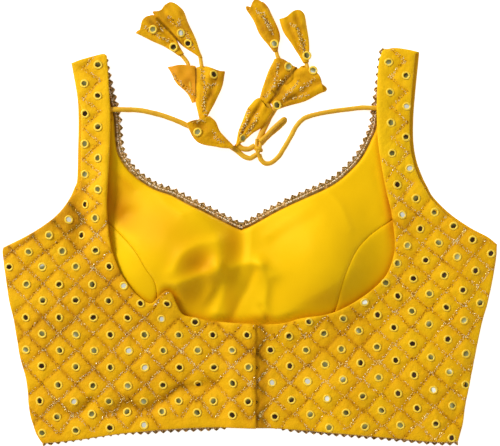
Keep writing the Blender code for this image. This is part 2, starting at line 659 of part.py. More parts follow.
def make_bell(name, bell):
    """A cloth cone, open at its mouth and closed at its tip."""
    stations = range(len(bell.sides))
    rings = [bell_ring(bell, station, 0.0) for station in stations]
    rings += [bell_ring(bell, station, BELL_WALL) for station in stations[:0:-1]]
    mesh = bmesh.new()
    loops = [[mesh.verts.new(place) for place in ring] for ring in rings]
    for first, second in zip(loops, loops[1:]):
        for side in range(BELL_SIDES):
            after = (side + 1) % BELL_SIDES
            mesh.faces.new((first[side], first[after], second[after], second[side]))
    mesh.faces.new(loops[0])
    mesh.faces.new(loops[-1])
    bmesh.ops.recalc_face_normals(mesh, faces=mesh.faces)
    data = bpy.data.meshes.new(name)
    mesh.to_mesh(data)
    mesh.free()
    if signed_volume(data) < 0:
        data.flip_normals()
    add_object(name, data, "embroidered_cloth")


def signed_volume(mesh):
    total = 0.0
    for polygon in mesh.polygons:
        corners = [mesh.vertices[index].co for index in polygon.vertices]
        for second, third in zip(corners[1:], corners[2:]):
            total += corners[0].dot(second.cross(third))
    return total


def make_knot():
    """The knot that holds the ends of the ties and of the bow."""
    mesh = bmesh.new()
    bmesh.ops.create_uvsphere(mesh, u_segments=12, v_segments=8, radius=1.0)
    for vertex in mesh.verts:
        for axis in range(3):
            vertex.co[axis] = (KNOT[axis] + KNOT_RADII[axis] * vertex.co[axis]) * MM
    data = bpy.data.meshes.new("tie_knot")
    mesh.to_mesh(data)
    mesh.free()
    add_object("tie_knot", data, "cord_cloth")


def make_cords():
    """Ties, bow, knot, bells and the strings that join them, all lying on the surface."""
    tube("tie_left", TIE_LEFT, CORD, 2 * CORD, "cord_cloth")
    tube("tie_right", TIE_RIGHT, CORD, 2 * CORD, "cord_cloth")
    tube("bow_stem", BOW_STEM, CORD, 2 * CORD, "cord_cloth")
    tube("bow_ear", BOW_EAR, CORD, CORD, "cord_cloth")
    tube("bow_tail", BOW_TAIL, CORD, CORD, "cord_cloth")
    make_knot()
    for name, bell in BELLS.items():
        make_bell(name, bell)
    for name, points in STRINGS.items():
        tube(name, points, STRING, 2 * STRING, "cord_cloth")


def make_hooks():
    """Bent wire hooks between the lapped edges, with their ends just past the upper edge."""
    x = LAP_EDGE_X + HOOK_PAST_EDGE
    for name, y in HOOKS.items():
        z = float(back_bottom(np.array([x]), np.array([y]))[0]) + BACK_CLOTH + HOOK_GAP + HOOK_WIRE / 2
        low, high = y - HOOK_HALF_WIDTH, y + HOOK_HALF_WIDTH
        points = [(x - HOOK_LENGTH, low, z), (x - HOOK_BEND, low, z), (x, y, z), (x - HOOK_BEND, high, z)]
        points.append((x - HOOK_LENGTH, high, z))
        tube(name, points, HOOK_WIRE, 2 * HOOK_WIRE, "hook_steel")


def build():
    clear_scene()
    make_fronts()
    make_linings()
    make_backs()
    lace_strip("neck_lace", [FRONT_NECK_LEFT, FRONT_NECK_RIGHT], LACE_WIDTH, POINT_LACE_WIDTH)
    hem = (FRONT_HEM_LEFT[:-1] + FRONT_HEM_CENTRE[:-1] + FRONT_HEM_RIGHT)[::-1]
    lace_strip("hem_lace", [hem], HEM_LACE_WIDTH, 0.0)
    make_hooks()
    make_cords()


build()
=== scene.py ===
"""Looks of a sleeveless choli blouse that lies flat with its back up.

Tables are in millimetres, and meshes are made in metres. X runs across, Y from hem to shoulders and Z up.
"""

import math
from collections import namedtuple

import bpy
import numpy as np
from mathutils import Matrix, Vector
from mathutils.bvhtree import BVHTree
from mathutils.geometry import delaunay_2d_cdt
from mathutils.kdtree import KDTree


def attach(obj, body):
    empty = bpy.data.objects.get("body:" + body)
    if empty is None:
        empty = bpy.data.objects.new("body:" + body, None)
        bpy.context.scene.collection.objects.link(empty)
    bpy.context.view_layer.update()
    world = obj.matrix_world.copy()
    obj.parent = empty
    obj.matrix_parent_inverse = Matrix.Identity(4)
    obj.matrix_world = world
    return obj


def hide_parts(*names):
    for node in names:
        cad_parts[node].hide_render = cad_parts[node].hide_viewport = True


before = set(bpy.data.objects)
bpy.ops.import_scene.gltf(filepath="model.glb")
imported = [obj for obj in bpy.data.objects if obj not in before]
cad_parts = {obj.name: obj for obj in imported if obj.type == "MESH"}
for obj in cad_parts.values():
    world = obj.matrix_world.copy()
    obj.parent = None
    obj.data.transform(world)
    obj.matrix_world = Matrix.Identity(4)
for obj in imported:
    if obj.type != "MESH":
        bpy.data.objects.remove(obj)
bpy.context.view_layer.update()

MM = 0.001

# Cloth thicknesses and gaps
FRONT_CLOTH = 1.4
LINING_CLOTH = 1.0
BACK_CLOTH = 1.8
LAYER_GAP = 0.5
SEAM_GAP = 0.4
BACK_GAP = 1.1
PRINCESS_HALF_GAP = 0.05

# Places that several pieces share
LAP_EDGE_X = 6.0
LAP_WIDTH = 15.0
LAP_SLOPE = 20.0
LAP_LEVEL = 4.0
HOOK_WIRE = 0.8
HOOK_ROOM = 0.6
LAP_LIFT = BACK_CLOTH + HOOK_WIRE + HOOK_ROOM
LINING_TOP_Y = 118.0
LINING_FOOT_Y = -92.0
LINING_SHOULDER_Y = 34.0
LINING_TRIM = 1.0
LINING_TOP = FRONT_CLOTH + LAYER_GAP + LINING_CLOTH

# Outline of the blouse, x and y along each edge
LEFT_SHOULDER = [(-133, 177.5), (-137.5, 179), (-156, 174), (-166.3, 170)]
LEFT_STRAP = [(-166.3, 170), (-161, 140), (-159.8, 118), (-160.2, 90), (-161, 60)]
LEFT_ARMHOLE = [(-161, 60), (-168, 44.5), (-177.5, 31.5), (-190.5, 20.5), (-208.5, 9.3), (-229.2, -1)]
LEFT_SIDE = [
    (-229.2, -1), (-230.3, -6), (-228, -24), (-224.4, -49), (-219, -74),
    (-214, -104), (-208, -126), (-205.5, -152), (-201.8, -167), (-197.8, -177), (-193, -184),
]
LEFT_HEM = [(-193, -184), (-160, -180.5), (-122, -175), (-73, -170.3), (-32, -168.6), (LAP_EDGE_X, -169.2)]
RIGHT_HEM = [(LAP_EDGE_X, -169.2), (40, -170.8), (75, -173.6), (119, -177.4), (171, -182.2), (194, -182.4)]
RIGHT_SIDE = [
    (194, -182.4), (198.4, -167), (201.8, -145), (207, -119.5), (214.8, -79), (222.6, -50), (229, -17),
    (230.5, 1.9),
]
RIGHT_ARMHOLE = [(230.5, 1.9), (222.5, 8.4), (205.8, 17.2), (187, 30.2), (171.4, 45.6), (162, 62.3)]
RIGHT_STRAP = [(162, 62.3), (156, 79), (153, 97), (153, 120.5), (154.8, 144), (157.2, 168), (158.4, 180.4)]
RIGHT_SHOULDER = [(158.4, 180.4), (147.5, 183), (134.7, 184.6), (124, 182.6)]

# Edge of the back neckline, from the left shoulder to the lap and on to the right shoulder
BACK_NECK_LEFT = [
    (-133, 177.5), (-131.2, 154), (-129.4, 130), (-129.2, 109), (-130, 85), (-131.3, 61), (-132.2, 37),
    (-131, 20), (-128.4, 1), (-121, -21), (-108, -41), (-92.5, -53), (-84, -46.5), (-77, -41),
    (-71.5, -43.5), (-67.5, -53), (-62, -63), (-52, -66), (-30, -70), (LAP_EDGE_X, -72),
]
BACK_NECK_RIGHT = [
    (LAP_EDGE_X - LAP_WIDTH, -72.5), (27, -72), (49, -66.7), (72.5, -63), (91.5, -55), (111.4, -42),
    (126.6, -27), (133.7, -9), (134.7, 3), (134, 14), (131, 34), (126.4, 53), (121.6, 79), (119.2, 97),
    (118, 120), (118.2, 140), (120.3, 170), (124, 182.6),
]

# Edge of the front neckline, with its point between the cups
FRONT_NECK_LEFT = [
    (-140, 175.4), (-135.4, 154), (-129.8, 132), (-126.6, 119), (-125.4, 102), (-123, 87.4), (-117, 76.3),
    (-106.6, 64.6), (-89.8, 53.4), (-72.2, 47), (-58.5, 39.8), (-44.3, 32.9), (-30.3, 25.8), (-15.7, 18.2),
    (-8, 15),
]
FRONT_NECK_RIGHT = [
    (-8, 15), (1.7, 19), (20.6, 29.6), (34.8, 36.9), (53.9, 45.6), (68.3, 52.1), (82.2, 60), (96.7, 72.9),
    (106.2, 84.8), (114.5, 101.4), (118, 110), (120.5, 126.5), (124.1, 150), (128.7, 183.9),
]

# Princess seams, from the armhole over the cup to the hem
LEFT_PRINCESS = [
    (-163, 55.5), (-143.8, 31), (-125.2, 15.8), (-107, -3), (-95.5, -21), (-87, -35), (-86, -56), (-90, -92),
    (-94.5, -134), (-97.3, -171),
]
RIGHT_PRINCESS = [
    (165.5, 56), (149.2, 37), (131.5, 23.3), (113.3, 11), (99, -3.5), (89.7, -22), (85, -36), (81.3, -54),
    (75, -79), (70, -125), (67.3, -171.3),
]

# Front hem where it hides under the back and where its lace peeps out
FRONT_HEM_RIGHT = [(67.3, -172.5), (119, -176.8), (171, -181.6), (194, -181.9)]
FRONT_HEM_CENTRE = [
    (-97.3, -171.8), (-73, -170), (-32, -168.3), (-14, -165.5), (20, -166), (40, -169.8), (67.3, -172.5),
]
FRONT_HEM_LEFT = [(-193, -183), (-160, -178), (-122, -172.5), (-97.3, -171.8)]

Cup = namedtuple("Cup", "x y half_width half_length height")
CUPS = [Cup(-75, -5, 68, 74, 20), Cup(66, -6, 73, 76, 22)]

# Soft ridges and troughs: both ends of the line, how wide it is and how high, below zero for a trough
Crease = namedtuple("Crease", "x0 y0 x1 y1 width height")
LINING_CREASES = [
    Crease(-32, -20, -38, -60, 8, 3.4),
    Crease(-15, -28, -17, -58, 7, -1.2),
    Crease(5, -18, -1, -58, 8, 3.6),
    Crease(-62, -32, -28, -22, 8, 1.6),
    Crease(-118, 30, -106, 29, 9, -2.0),
]
BACK_CREASES = [
    Crease(-157, 54, -157, 10, 7, -0.9),
    Crease(-145, 50, -146, 4, 8, 1.6),
    Crease(-170, 26, -171, 0, 9, 1.3),
    Crease(-172, -155, -150, -150, 7, -1.4),
    Crease(-130, -154, -90, -148, 7, -1.6),
    Crease(-82, -143, -34, -128, 8, -1.4),
]
BILLOWS = [Crease(-165, -60, -120, -120, 42, 2.0), Crease(165, -60, 110, -125, 42, 2.2)]

# Where the cups start to count as raised, where their creases are full, and how far seams and neckline reach
CUP_EDGE = 0.1
CREASE_START = 3.0
SIDE_FALL = 24.0
SHOULDER_FALL = (136.0, 166.0)
NECK_LIFT = 2.6
NECK_LIFT_WIDTH = 17.0

# How far the front's plain edge shows past the back, along each strap and armhole
LEFT_REVEAL = (0.7, 3.3)
LEFT_REVEAL_SPAN = (54.0, 128.0)
RIGHT_REVEAL = (2.8, 3.7)
RIGHT_REVEAL_SPAN = (66.0, 190.0)
REVEAL_FADE = 10.0

# Scalloped lace: distance between points, its width in the hollows and at the points
LACE_PITCH = 7.1
LACE_WIDTH = (4.8, 7.4)
HEM_LACE_WIDTH = (1.6, 4.0)

# Cords and cloth bells
CORD = 3.7
STRING = 2.4
FLOOR_GAP = 0.3
ON_FLOOR = FLOOR_GAP + CORD / 2
ON_FRONT = FRONT_CLOTH + FLOOR_GAP + CORD / 2


def at_height(z, *places):
    return [(x, y, z) for x, y in places]


TIE_LEFT = [
    *at_height(ON_FRONT, (-135, 127), (-124, 127.1)), (-113, 127, 2.6),
    *at_height(
        ON_FLOOR, (-102, 126.5), (-90, 124), (-78, 120.6), (-66, 116), (-56, 111.5), (-44, 106.2),
        (-32, 100.4), (-22, 95.2), (-13, 89.6), (-6, 84), (0.2, 81.8), (4, 83.6),
    ),
]
TIE_RIGHT = [
    *at_height(ON_FRONT, (127, 128.2), (116, 128.5)), (104, 128.8, 2.6),
    *at_height(
        ON_FLOOR, (92, 127.4), (80, 126), (69, 124.2), (57, 121.4), (49.5, 118), (43.5, 111.5), (38.4, 102),
        (33, 92.6), (27, 83.4), (20.5, 77.8), (14.6, 77), (10.8, 80), (9.6, 83),
    ),
]
BOW_STEM = at_height(ON_FLOOR, (8.4, 97.4), (11, 104), (15, 113), (19, 121), (23.6, 128.4))
BOW_TAIL = at_height(ON_FLOOR, (2.9, 92.4), (-1, 90.4), (-6, 90.6), (-10, 93.2))

# A bell lies flat: x and y of its two sides at four places from the tip to the mouth, heights of its
# underside at tip and mouth, how high it stands, and how far its lips stand out past the mouth's corners
Bell = namedtuple("Bell", "sides tip_z mouth_z height crown")
BELLS = {
    "latkan_l1": Bell([
        (-16.5, 91, -15.5, 93.5), (-28.5, 92.5, -26, 103.5), (-46, 97, -31.5, 112),
        (-57.5, 112.5, -37, 119.5),
    ], 4.6, 4.6, 8, 2),
    "latkan_l2": Bell([
        (-46, 118.2, -39, 121.6), (-49, 133, -32.5, 134), (-48.5, 149, -27.5, 148),
        (-50, 165.5, -23.5, 161.5),
    ], 5.4, FLOOR_GAP, 8.5, 2),
    "latkan_l3": Bell([
        (-54, 134.5, -50.5, 135.5), (-58, 143, -49.1, 144), (-66.5, 152, -49.1, 154),
        (-75, 166, -51.2, 167),
    ], FLOOR_GAP, FLOOR_GAP, 7.5, 1.5),
    "latkan_l4": Bell([
        (-67.5, 178, -62, 180), (-79, 187, -71, 194), (-91.5, 192, -80, 204.5),
        (-102.5, 197.5, -87.5, 213),
    ], FLOOR_GAP, FLOOR_GAP, 8, 5),
    "latkan_l5": Bell([
        (-47.5, 176.5, -44.5, 176.5), (-61.5, 187.5, -52, 193.5), (-76.5, 202.5, -57.5, 206.5),
        (-86, 214.5, -65, 220.5),
    ], FLOOR_GAP, FLOOR_GAP, 9, 7),
    "latkan_r1": Bell([
        (-12.5, 93.5, -10, 94.5), (-8.5, 109.5, 0.5, 104), (-2, 124, 11, 112),
        (3.5, 133, 19, 123),
    ], FLOOR_GAP, FLOOR_GAP, 8.5, 6),
    "latkan_r2": Bell([
        (9.7, 136.5, 15.7, 132.5), (14, 150.5, 26, 143.5), (20, 163.5, 36, 155),
        (24, 174, 43.5, 165.5),
    ], FLOOR_GAP, FLOOR_GAP, 8, 2),
    "latkan_r3": Bell([
        (22, 132.5, 26, 127.5), (32.5, 146, 41, 133), (41, 157.5, 55.5, 138.5),
        (48.5, 166.5, 69, 144),
    ], FLOOR_GAP, FLOOR_GAP, 8.5, 5),
    "latkan_r4": Bell([
        (21.5, 182, 26, 183), (12.5, 194.5, 27, 194.5), (5.5, 208, 22, 210.5),
        (-0.5, 217.5, 17, 220),
    ], FLOOR_GAP, FLOOR_GAP, 8.5, 8),
    "latkan_r5": Bell([
        (49.5, 171.5, 55, 172.5), (41.5, 187, 54, 187.5), (32.5, 199, 53, 200.5),
        (30, 209.5, 49, 216),
    ], FLOOR_GAP, FLOOR_GAP, 8.5, 4),
}
BELL_TIP_RADIUS = 2.3

# Thin strings that carry a second row of bells
STRINGS = {
    "string_l4": [
        (-63.8, 178.2, 2.6), (-59.5, 173.2, 3), (-57, 168.5, 3.6), (-56.5, 162, 3.8), (-56, 155, 3.6),
        (-54.8, 147, 3.3),
    ],
    "string_l5": [
        (-46, 175.7, 2.6), (-45, 170, 3.8), (-44, 164.5, 4.6), (-42.5, 158, 4.9), (-41, 150, 5.5),
        (-40.4, 144, 5.8),
    ],
    "string_r4": [
        (24.6, 182, 2.6), (26, 176.8, 3.6), (29, 171, 4.2), (29.6, 165, 4.2), (27, 159, 3.8), (23, 151, 3.5),
    ],
    "string_r5": [
        (52.5, 171.4, 2.6), (53.6, 167, 3.6), (55, 162.6, 4.3), (55.5, 157, 4.4), (52, 151, 4.1),
        (43.5, 144, 3.7),
    ],
}

# Hooks and their places along the lap
HOOKS = {"hook_upper": -113.0, "hook_lower": -145.0}


def smooth_step(value, start, end):
    t = np.clip((value - start) / (end - start), 0.0, 1.0)
    return t * t * (3.0 - 2.0 * t)


def smooth_curve(points, step):
    """Points a step apart along a smooth curve through the given ones, in two or three dimensions."""
    points = np.array(points, float)
    before = 2 * points[0] - points[1]
    after = 2 * points[-1] - points[-2]
    knots = np.vstack([before, points, after])
    dense = []
    for a, b, c, d in zip(knots, knots[1:], knots[2:], knots[3:]):
        for t in np.linspace(0.0, 1.0, 12, endpoint=False):
            bend = (2 * a - 5 * b + 4 * c - d) * t**2 + (3 * b - a - 3 * c + d) * t**3
            dense.append(0.5 * (2 * b + (c - a) * t + bend))
    dense = np.array([*dense, points[-1]])
    along = np.concatenate([[0.0], np.cumsum(np.linalg.norm(np.diff(dense, axis=0), axis=1))])
    count = max(2, round(along[-1] / step) + 1)
    places = np.linspace(0.0, along[-1], count)
    return np.column_stack([np.interp(places, along, column) for column in dense.T])


def side_normals(curve):
    """Unit vectors to the left of a plan curve at each of its points."""
    along = np.gradient(curve, axis=0)
    along /= np.linalg.norm(along, axis=1)[:, None]
    return np.column_stack([-along[:, 1], along[:, 0]])


def moved_aside(curve, distance):
    """The plan curve moved to its left by a distance, one number or one for each point."""
    return curve + side_normals(curve) * np.reshape(distance, (-1, 1))


def between(curve, low_y, high_y):
    """The stretch of a plan curve whose points lie between two heights on the page."""
    return curve[(curve[:, 1] >= low_y) & (curve[:, 1] <= high_y)]


def distance_to(curve, x, y):
    """Shortest distance in plan from each point to a curve given by close points."""
    flat = np.column_stack([np.ravel(x), np.ravel(y)])
    gaps = np.linalg.norm(flat[:, None, :] - curve[None, :, :], axis=2)
    return gaps.min(axis=1).reshape(np.shape(x))


def crease_heights(creases, x, y):
    """Sum of soft ridges and troughs, each fading away on both sides of its line."""
    total = np.zeros(np.shape(x))
    for crease in creases:
        along = np.array([crease.x1 - crease.x0, crease.y1 - crease.y0])
        t = ((x - crease.x0) * along[0] + (y - crease.y0) * along[1]) / (along @ along)
        t = np.clip(t, 0.0, 1.0)
        off = np.hypot(x - crease.x0 - t * along[0], y - crease.y0 - t * along[1])
        total = total + crease.height * np.exp(-((off / crease.width) ** 2))
    return total


def cup_heights(x, y):
    """The two cups, pushed in so that they swell upwards, and zero round them."""
    total = np.zeros(np.shape(x))
    for cup in CUPS:
        reach = np.hypot((x - cup.x) / cup.half_width, (y - cup.y) / cup.half_length)
        total = total + cup.height * 0.5 * (1.0 + np.cos(math.pi * np.clip(reach, 0.0, 1.0)))
    return total


def front_bottom(x, y):
    """Underside of the front: flat where it rests, raised under the cups and their creases."""
    cups = cup_heights(x, y)
    creases = crease_heights(LINING_CREASES, x, y) * smooth_step(cups, CUP_EDGE, CREASE_START)
    return np.maximum(cups + creases, 0.0)


def lining_bottom(x, y):
    return front_bottom(x, y) + FRONT_CLOTH + LAYER_GAP


PATH_STEP = 3.0
NECK_PATH = smooth_curve(BACK_NECK_LEFT + BACK_NECK_RIGHT[1:], PATH_STEP)


def back_bottom(x, y):
    """Underside of the back: over the cups, lifted at its neckline, down to the front at its outer seams."""
    lift = NECK_LIFT * np.exp(-((distance_to(NECK_PATH, x, y) / NECK_LIFT_WIDTH) ** 2))
    high = LINING_TOP + BACK_GAP + cup_heights(x, y) + lift
    high += crease_heights(BILLOWS, x, y) + crease_heights(BACK_CREASES, x, y) * (1.0 - lift / NECK_LIFT)
    left = np.array(LEFT_SIDE[::-1])
    right = np.array(RIGHT_SIDE)
    inside = np.minimum(x - np.interp(y, left[:, 1], left[:, 0]), np.interp(y, right[:, 1], right[:, 0]) - x)
    joined = smooth_step(inside, 0.0, SIDE_FALL) * (1.0 - smooth_step(y, *SHOULDER_FALL))
    seam = FRONT_CLOTH + SEAM_GAP
    return seam + (high - seam) * joined


def left_back_bottom(x, y):
    """The left back rises over the right one where it laps it."""
    ramp = smooth_step(x, LAP_EDGE_X - LAP_WIDTH - LAP_SLOPE, LAP_EDGE_X - LAP_WIDTH - LAP_LEVEL)
    return back_bottom(x, y) + LAP_LIFT * ramp


def outline_of(runs):
    """A closed plan outline from edges that follow each other, without repeated corners."""
    return np.vstack([run[:-1] for run in runs])


def lattice(low, high, step):
    """Points of a triangular lattice over a rectangle."""
    rows = []
    height = step * math.sqrt(3) / 2
    for row in range(math.floor(low[1] / height), math.ceil(high[1] / height) + 1):
        shift = 0.5 * step * (row % 2)
        columns = np.arange(math.floor(low[0] / step), math.ceil(high[0] / step) + 1) * step + shift
        rows.append(np.column_stack([columns, np.full(len(columns), row * height)]))
    return np.vstack(rows)


def inside_outline(points, outline):
    """Which plan points lie inside an outline, by counting the edges that a ray crosses."""
    x, y = points[:, 0:1], points[:, 1:2]
    ax, ay = outline[:, 0], outline[:, 1]
    bx, by = np.roll(ax, -1), np.roll(ay, -1)
    crosses = (ay > y) != (by > y)
    rise = np.where(by == ay, 1.0, by - ay)
    at = ax + (y - ay) / rise * (bx - ax)
    return (crosses & (x < at)).sum(axis=1) % 2 == 1


def along_edges(outline):
    """Close points along the straight sides of an outline, for measuring distances to it."""
    ends = np.roll(outline, -1, axis=0)
    shares = np.linspace(0.0, 1.0, 6, endpoint=False)[:, None, None]
    return (outline + (ends - outline) * shares).reshape(-1, 2)


def fading_reveal(y, amounts, span):
    """Reveal that grows from the first amount to the second inside a span of y."""
    start = smooth_step(y, span[0] - REVEAL_FADE, span[0])
    end = smooth_step(y, span[1], span[1] + REVEAL_FADE)
    return amounts[0] + (amounts[1] - amounts[0]) * start * (1.0 - end)


CLOTH_STEP = 2.3
UNDER_STEP = 4.0
BELL_AROUND = 44
BELL_STEP = 1.1

# Mirrors in even runs: the first one's place, how many, the step to the next and how far the middle bows up
Run = namedtuple("Run", "x y count step_x step_y bow")
LEFT_MIRRORS = [
    Run(-205, -5.5, 3, 31.2, 0.7, 0), Run(-223.5, -19.5, 4, 31.2, 0.2, 0),
    Run(-207, -35.5, 4, 30.6, -0.1, 0), Run(-191.5, -50.5, 4, 30.4, -0.6, 0.9),
    Run(-208, -66.5, 6, 31.6, -0.4, 1.1), Run(-192.5, -81.5, 7, 31.7, -0.1, -0.7),
    Run(-208, -96.5, 7, 32, 0, -0.6), Run(-193, -111.5, 7, 32, -0.1, -0.9),
    Run(-177.5, -129, 6, 32.4, 0.4, -1.4), Run(-195, -144, 7, 32.3, 0, 0),
    Run(-179, -159, 6, 32.6, 0.5, 3.7), Run(-193, -174, 4, 31.7, 2.6, 0), Run(-186, 10, 2, 29.8, 0, 0),
    Run(-168, 24.5, 2, 25.1, 1.4, 0), Run(-141, 168.5, 5, 0.2, -29, 0),
    Run(-153.5, 151, 5, 0.2, -28.1, 0), Run(-76, -53, 1, 20, -20, 0),
]
RIGHT_MIRRORS = [
    Run(19.5, -96.5, 6, 32.9, 2, -3.3), Run(36.5, -83.5, 6, 32.5, 2.9, -0.9),
    Run(55, -70, 6, 31.9, 3.4, -0.7), Run(37.5, -111.5, 6, 32.7, 2.3, -1.4),
    Run(21, -127, 6, 32.9, 2, -0.9), Run(39, -143, 6, 32.9, 2.6, -1.4), Run(23.5, -158.5, 6, 33, 2, 0),
    Run(74, -168.5, 4, 33, 1.1, 0), Run(188, -178.5, 1, 32.6, 1.9, 0), Run(137, 57, 6, 17.5, -12.8, 0),
    Run(141.5, 29, 5, 17.1, -13, 0), Run(146.5, 0.5, 4, 17.1, -13.8, 0), Run(137, -16, 3, 14.9, -14.1, 0),
    Run(125, -33, 2, 12.5, -13.4, 0), Run(106.5, -52, 1, 14, -13, 0), Run(129.5, 171, 4, 0.9, -28.3, 0),
    Run(145.5, 158.5, 4, 1.1, -28.8, 0),
]


# Where runs of mirrors go on past what shows: how many places, least room to an edge and to a shown mirror
RUN_PAST_ENDS = 2
EDGE_ROOM = 5.0
MIRROR_ROOM = 13.0
# A mirror this close to the edge or closer is left out, and others are set in by this much
MIRROR_CUT = 0.8
MIRROR_INSET = 3.9
# Mirrors are diagonal neighbours at these distances, with at least so much of it across and along
DIAGONAL = (15.0, 27.5)
DIAGONAL_ACROSS = 8.0
DIAGONAL_ALONG = 6.0
ZARI_HALF_LENGTH = 11.2


def noise(x, y, size, seed):
    """Smooth random values from -1 to 1, with bumps about a size apart."""
    gx, gy = np.asarray(x) / size, np.asarray(y) / size
    ix, iy = np.floor(gx), np.floor(gy)
    fx, fy = gx - ix, gy - iy
    fx, fy = fx * fx * (3 - 2 * fx), fy * fy * (3 - 2 * fy)

    def corner(a, b):
        value = np.sin(a * 127.1 + b * 311.7 + seed * 74.7) * 43758.5453
        return 2 * (value - np.floor(value)) - 1

    low = corner(ix, iy) * (1 - fx) + corner(ix + 1, iy) * fx
    high = corner(ix, iy + 1) * (1 - fx) + corner(ix + 1, iy + 1) * fx
    return low * (1 - fy) + high * fy


def tree_of(points):
    tree = KDTree(len(points))
    for number, (x, y) in enumerate(points):
        tree.insert((x, y, 0.0), number)
    tree.balance()
    return tree


def near(tree, x, y):
    """Distance in plan from each point to the closest one of a tree."""
    flat = [tree.find((a, b, 0.0))[2] for a, b in zip(np.ravel(x), np.ravel(y))]
    return np.array(flat).reshape(np.shape(x))


def mirror_places(runs, outline, hidden_x):
    """Mirrors inside an outline, and with them the hidden places where their runs go on."""
    shown, beyond = [], []
    for run in runs:
        for number in range(-RUN_PAST_ENDS, run.count + RUN_PAST_ENDS):
            t = number / max(run.count - 1, 1)
            place = (run.x + run.step_x * number, run.y + run.step_y * number + run.bow * 4 * t * (1 - t))
            (shown if 0 <= number < run.count else beyond).append(place)
    shown = np.array(shown)
    beyond = np.array(beyond)
    edge_tree = tree_of(along_edges(outline))
    shown_tree = tree_of(shown)
    outside = ~inside_outline(beyond, outline) | (near(edge_tree, *beyond.T) < EDGE_ROOM)
    outside |= beyond[:, 0] < hidden_x
    places = np.vstack([shown, beyond[outside & (near(shown_tree, *beyond.T) > MIRROR_ROOM)]])
    kept = []
    for place in shown[inside_outline(shown, outline)]:
        spot, _, gap = edge_tree.find((*place, 0.0))
        if gap > MIRROR_CUT:
            inward = (place - np.array(spot[:2])) / gap
            kept.append(place + inward * max(0.0, MIRROR_INSET - gap))
    return np.array(kept), places


def zari_lines(places):
    """Lines half way between mirrors that are diagonal neighbours, as pairs of ends."""
    lines = []
    for number, here in enumerate(places):
        for other in places[number + 1:]:
            gap = other - here
            size = np.linalg.norm(gap)
            slanted = abs(gap[0]) > DIAGONAL_ACROSS and abs(gap[1]) > DIAGONAL_ALONG
            if slanted and DIAGONAL[0] < size < DIAGONAL[1]:
                across = np.array([-gap[1], gap[0]]) / size
                middle = (here + other) / 2
                lines.append((middle - across * ZARI_HALF_LENGTH, middle + across * ZARI_HALF_LENGTH))
    return lines


def along_line(a, b, step):
    count = max(2, round(np.linalg.norm(b - a) / step) + 1)
    return a + (b - a) * np.linspace(0, 1, count)[:, None]


def build(name, corners, faces, material, smooth=True, replaces=(), tones=None):
    """A mesh piece that rides on the blouse, from corners in millimetres."""
    mesh = bpy.data.meshes.new(name)
    mesh.from_pydata((np.asarray(corners) * MM).tolist(), [], faces)
    mesh.validate()
    mesh.polygons.foreach_set("use_smooth", [smooth] * len(mesh.polygons))
    for title, values in (tones or {}).items():
        attribute = mesh.attributes.new(title, "FLOAT", "POINT")
        attribute.data.foreach_set("value", np.asarray(values, np.float32))
    mesh.materials.append(material)
    obj = bpy.data.objects.new(name, mesh)
    bpy.context.collection.objects.link(obj)
    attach(obj, "root")
    if replaces:
        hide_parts(*replaces)
    return obj


class Look:
    """A node material with short calls to add nodes and join them."""

    def __init__(self, name, **constants):
        self.material = bpy.data.materials.new(name)
        self.material.use_nodes = True
        self.tree = self.material.node_tree
        self.shader = self.tree.nodes["Principled BSDF"]
        for title, value in constants.items():
            self.put(title.replace("_", " "), value)

    def put(self, title, value):
        socket = next(s for s in self.shader.inputs if s.name.lower() == title.lower())
        self.join(socket, value)

    def join(self, socket, value):
        if isinstance(value, bpy.types.NodeSocket):
            self.tree.links.new(value, socket)
        elif isinstance(value, (tuple, list)) and socket.type == "RGBA":
            socket.default_value = (*value, 1.0)
        else:
            socket.default_value = value

    def add(self, kind, inputs=None, out=0, **settings):
        node = self.tree.nodes.new("ShaderNode" + kind)
        for title, value in settings.items():
            setattr(node, title, value)
        for title, value in (inputs or {}).items():
            self.join(node.inputs[title], value)
        return node.outputs[out]

    def place(self):
        return self.add("TexCoord", out=3)

    def mix(self, share, first, second):
        node = self.tree.nodes.new("ShaderNodeMix")
        node.data_type = "RGBA"
        self.join(node.inputs[0], share)
        self.join(node.inputs[6], first)
        self.join(node.inputs[7], second)
        return node.outputs[2]

    def ramp(self, value, *stops):
        node = self.tree.nodes.new("ShaderNodeValToRGB")
        self.join(node.inputs[0], value)
        while len(node.color_ramp.elements) < len(stops):
            node.color_ramp.elements.new(0.5)
        for element, (at, colour) in zip(node.color_ramp.elements, stops):
            element.position = at
            element.color = (*colour, 1.0)
        return node.outputs[0]

    def tone(self):
        return self.add("Attribute", attribute_name="tone", out=2)

    def share(self, value, start, end, most, least=0.0):
        """A grey ramp from the least to the most share."""
        return self.ramp(value, (start, (least,) * 3), (end, (most,) * 3))

    def colour(self, value, *stops):
        self.put("Base Color", self.ramp(value, *stops))

    def speckle(self, scale, detail=2.0, distortion=0.0):
        inputs = {"Vector": self.place(), "Scale": scale, "Detail": detail, "Distortion": distortion}
        return self.add("TexNoise", inputs)

    def threads(self, direction, pitch, distortion):
        inputs = {"Vector": self.place(), "Scale": 0.314 / pitch, "Distortion": distortion}
        return self.add("TexWave", inputs, out=1, bands_direction=direction)

    def weave(self, pitch, strength, wrinkle=0.0):
        """Crossing threads at a pitch in metres, as bump, with fine wrinkles of the cloth if wanted."""
        warp, weft = self.threads("X", pitch, 0.6), self.threads("Y", pitch, 0.9)
        both = self.add("Math", {0: warp, 1: weft}, operation="ADD")
        if wrinkle:
            fine = self.add("Math", {0: self.speckle(240.0, 2.0, 0.4), 1: wrinkle}, operation="MULTIPLY")
            both = self.add("Math", {0: both, 1: fine}, operation="ADD")
        self.put("Normal", self.add("Bump", {"Height": both, "Strength": strength, "Distance": 0.0001}))


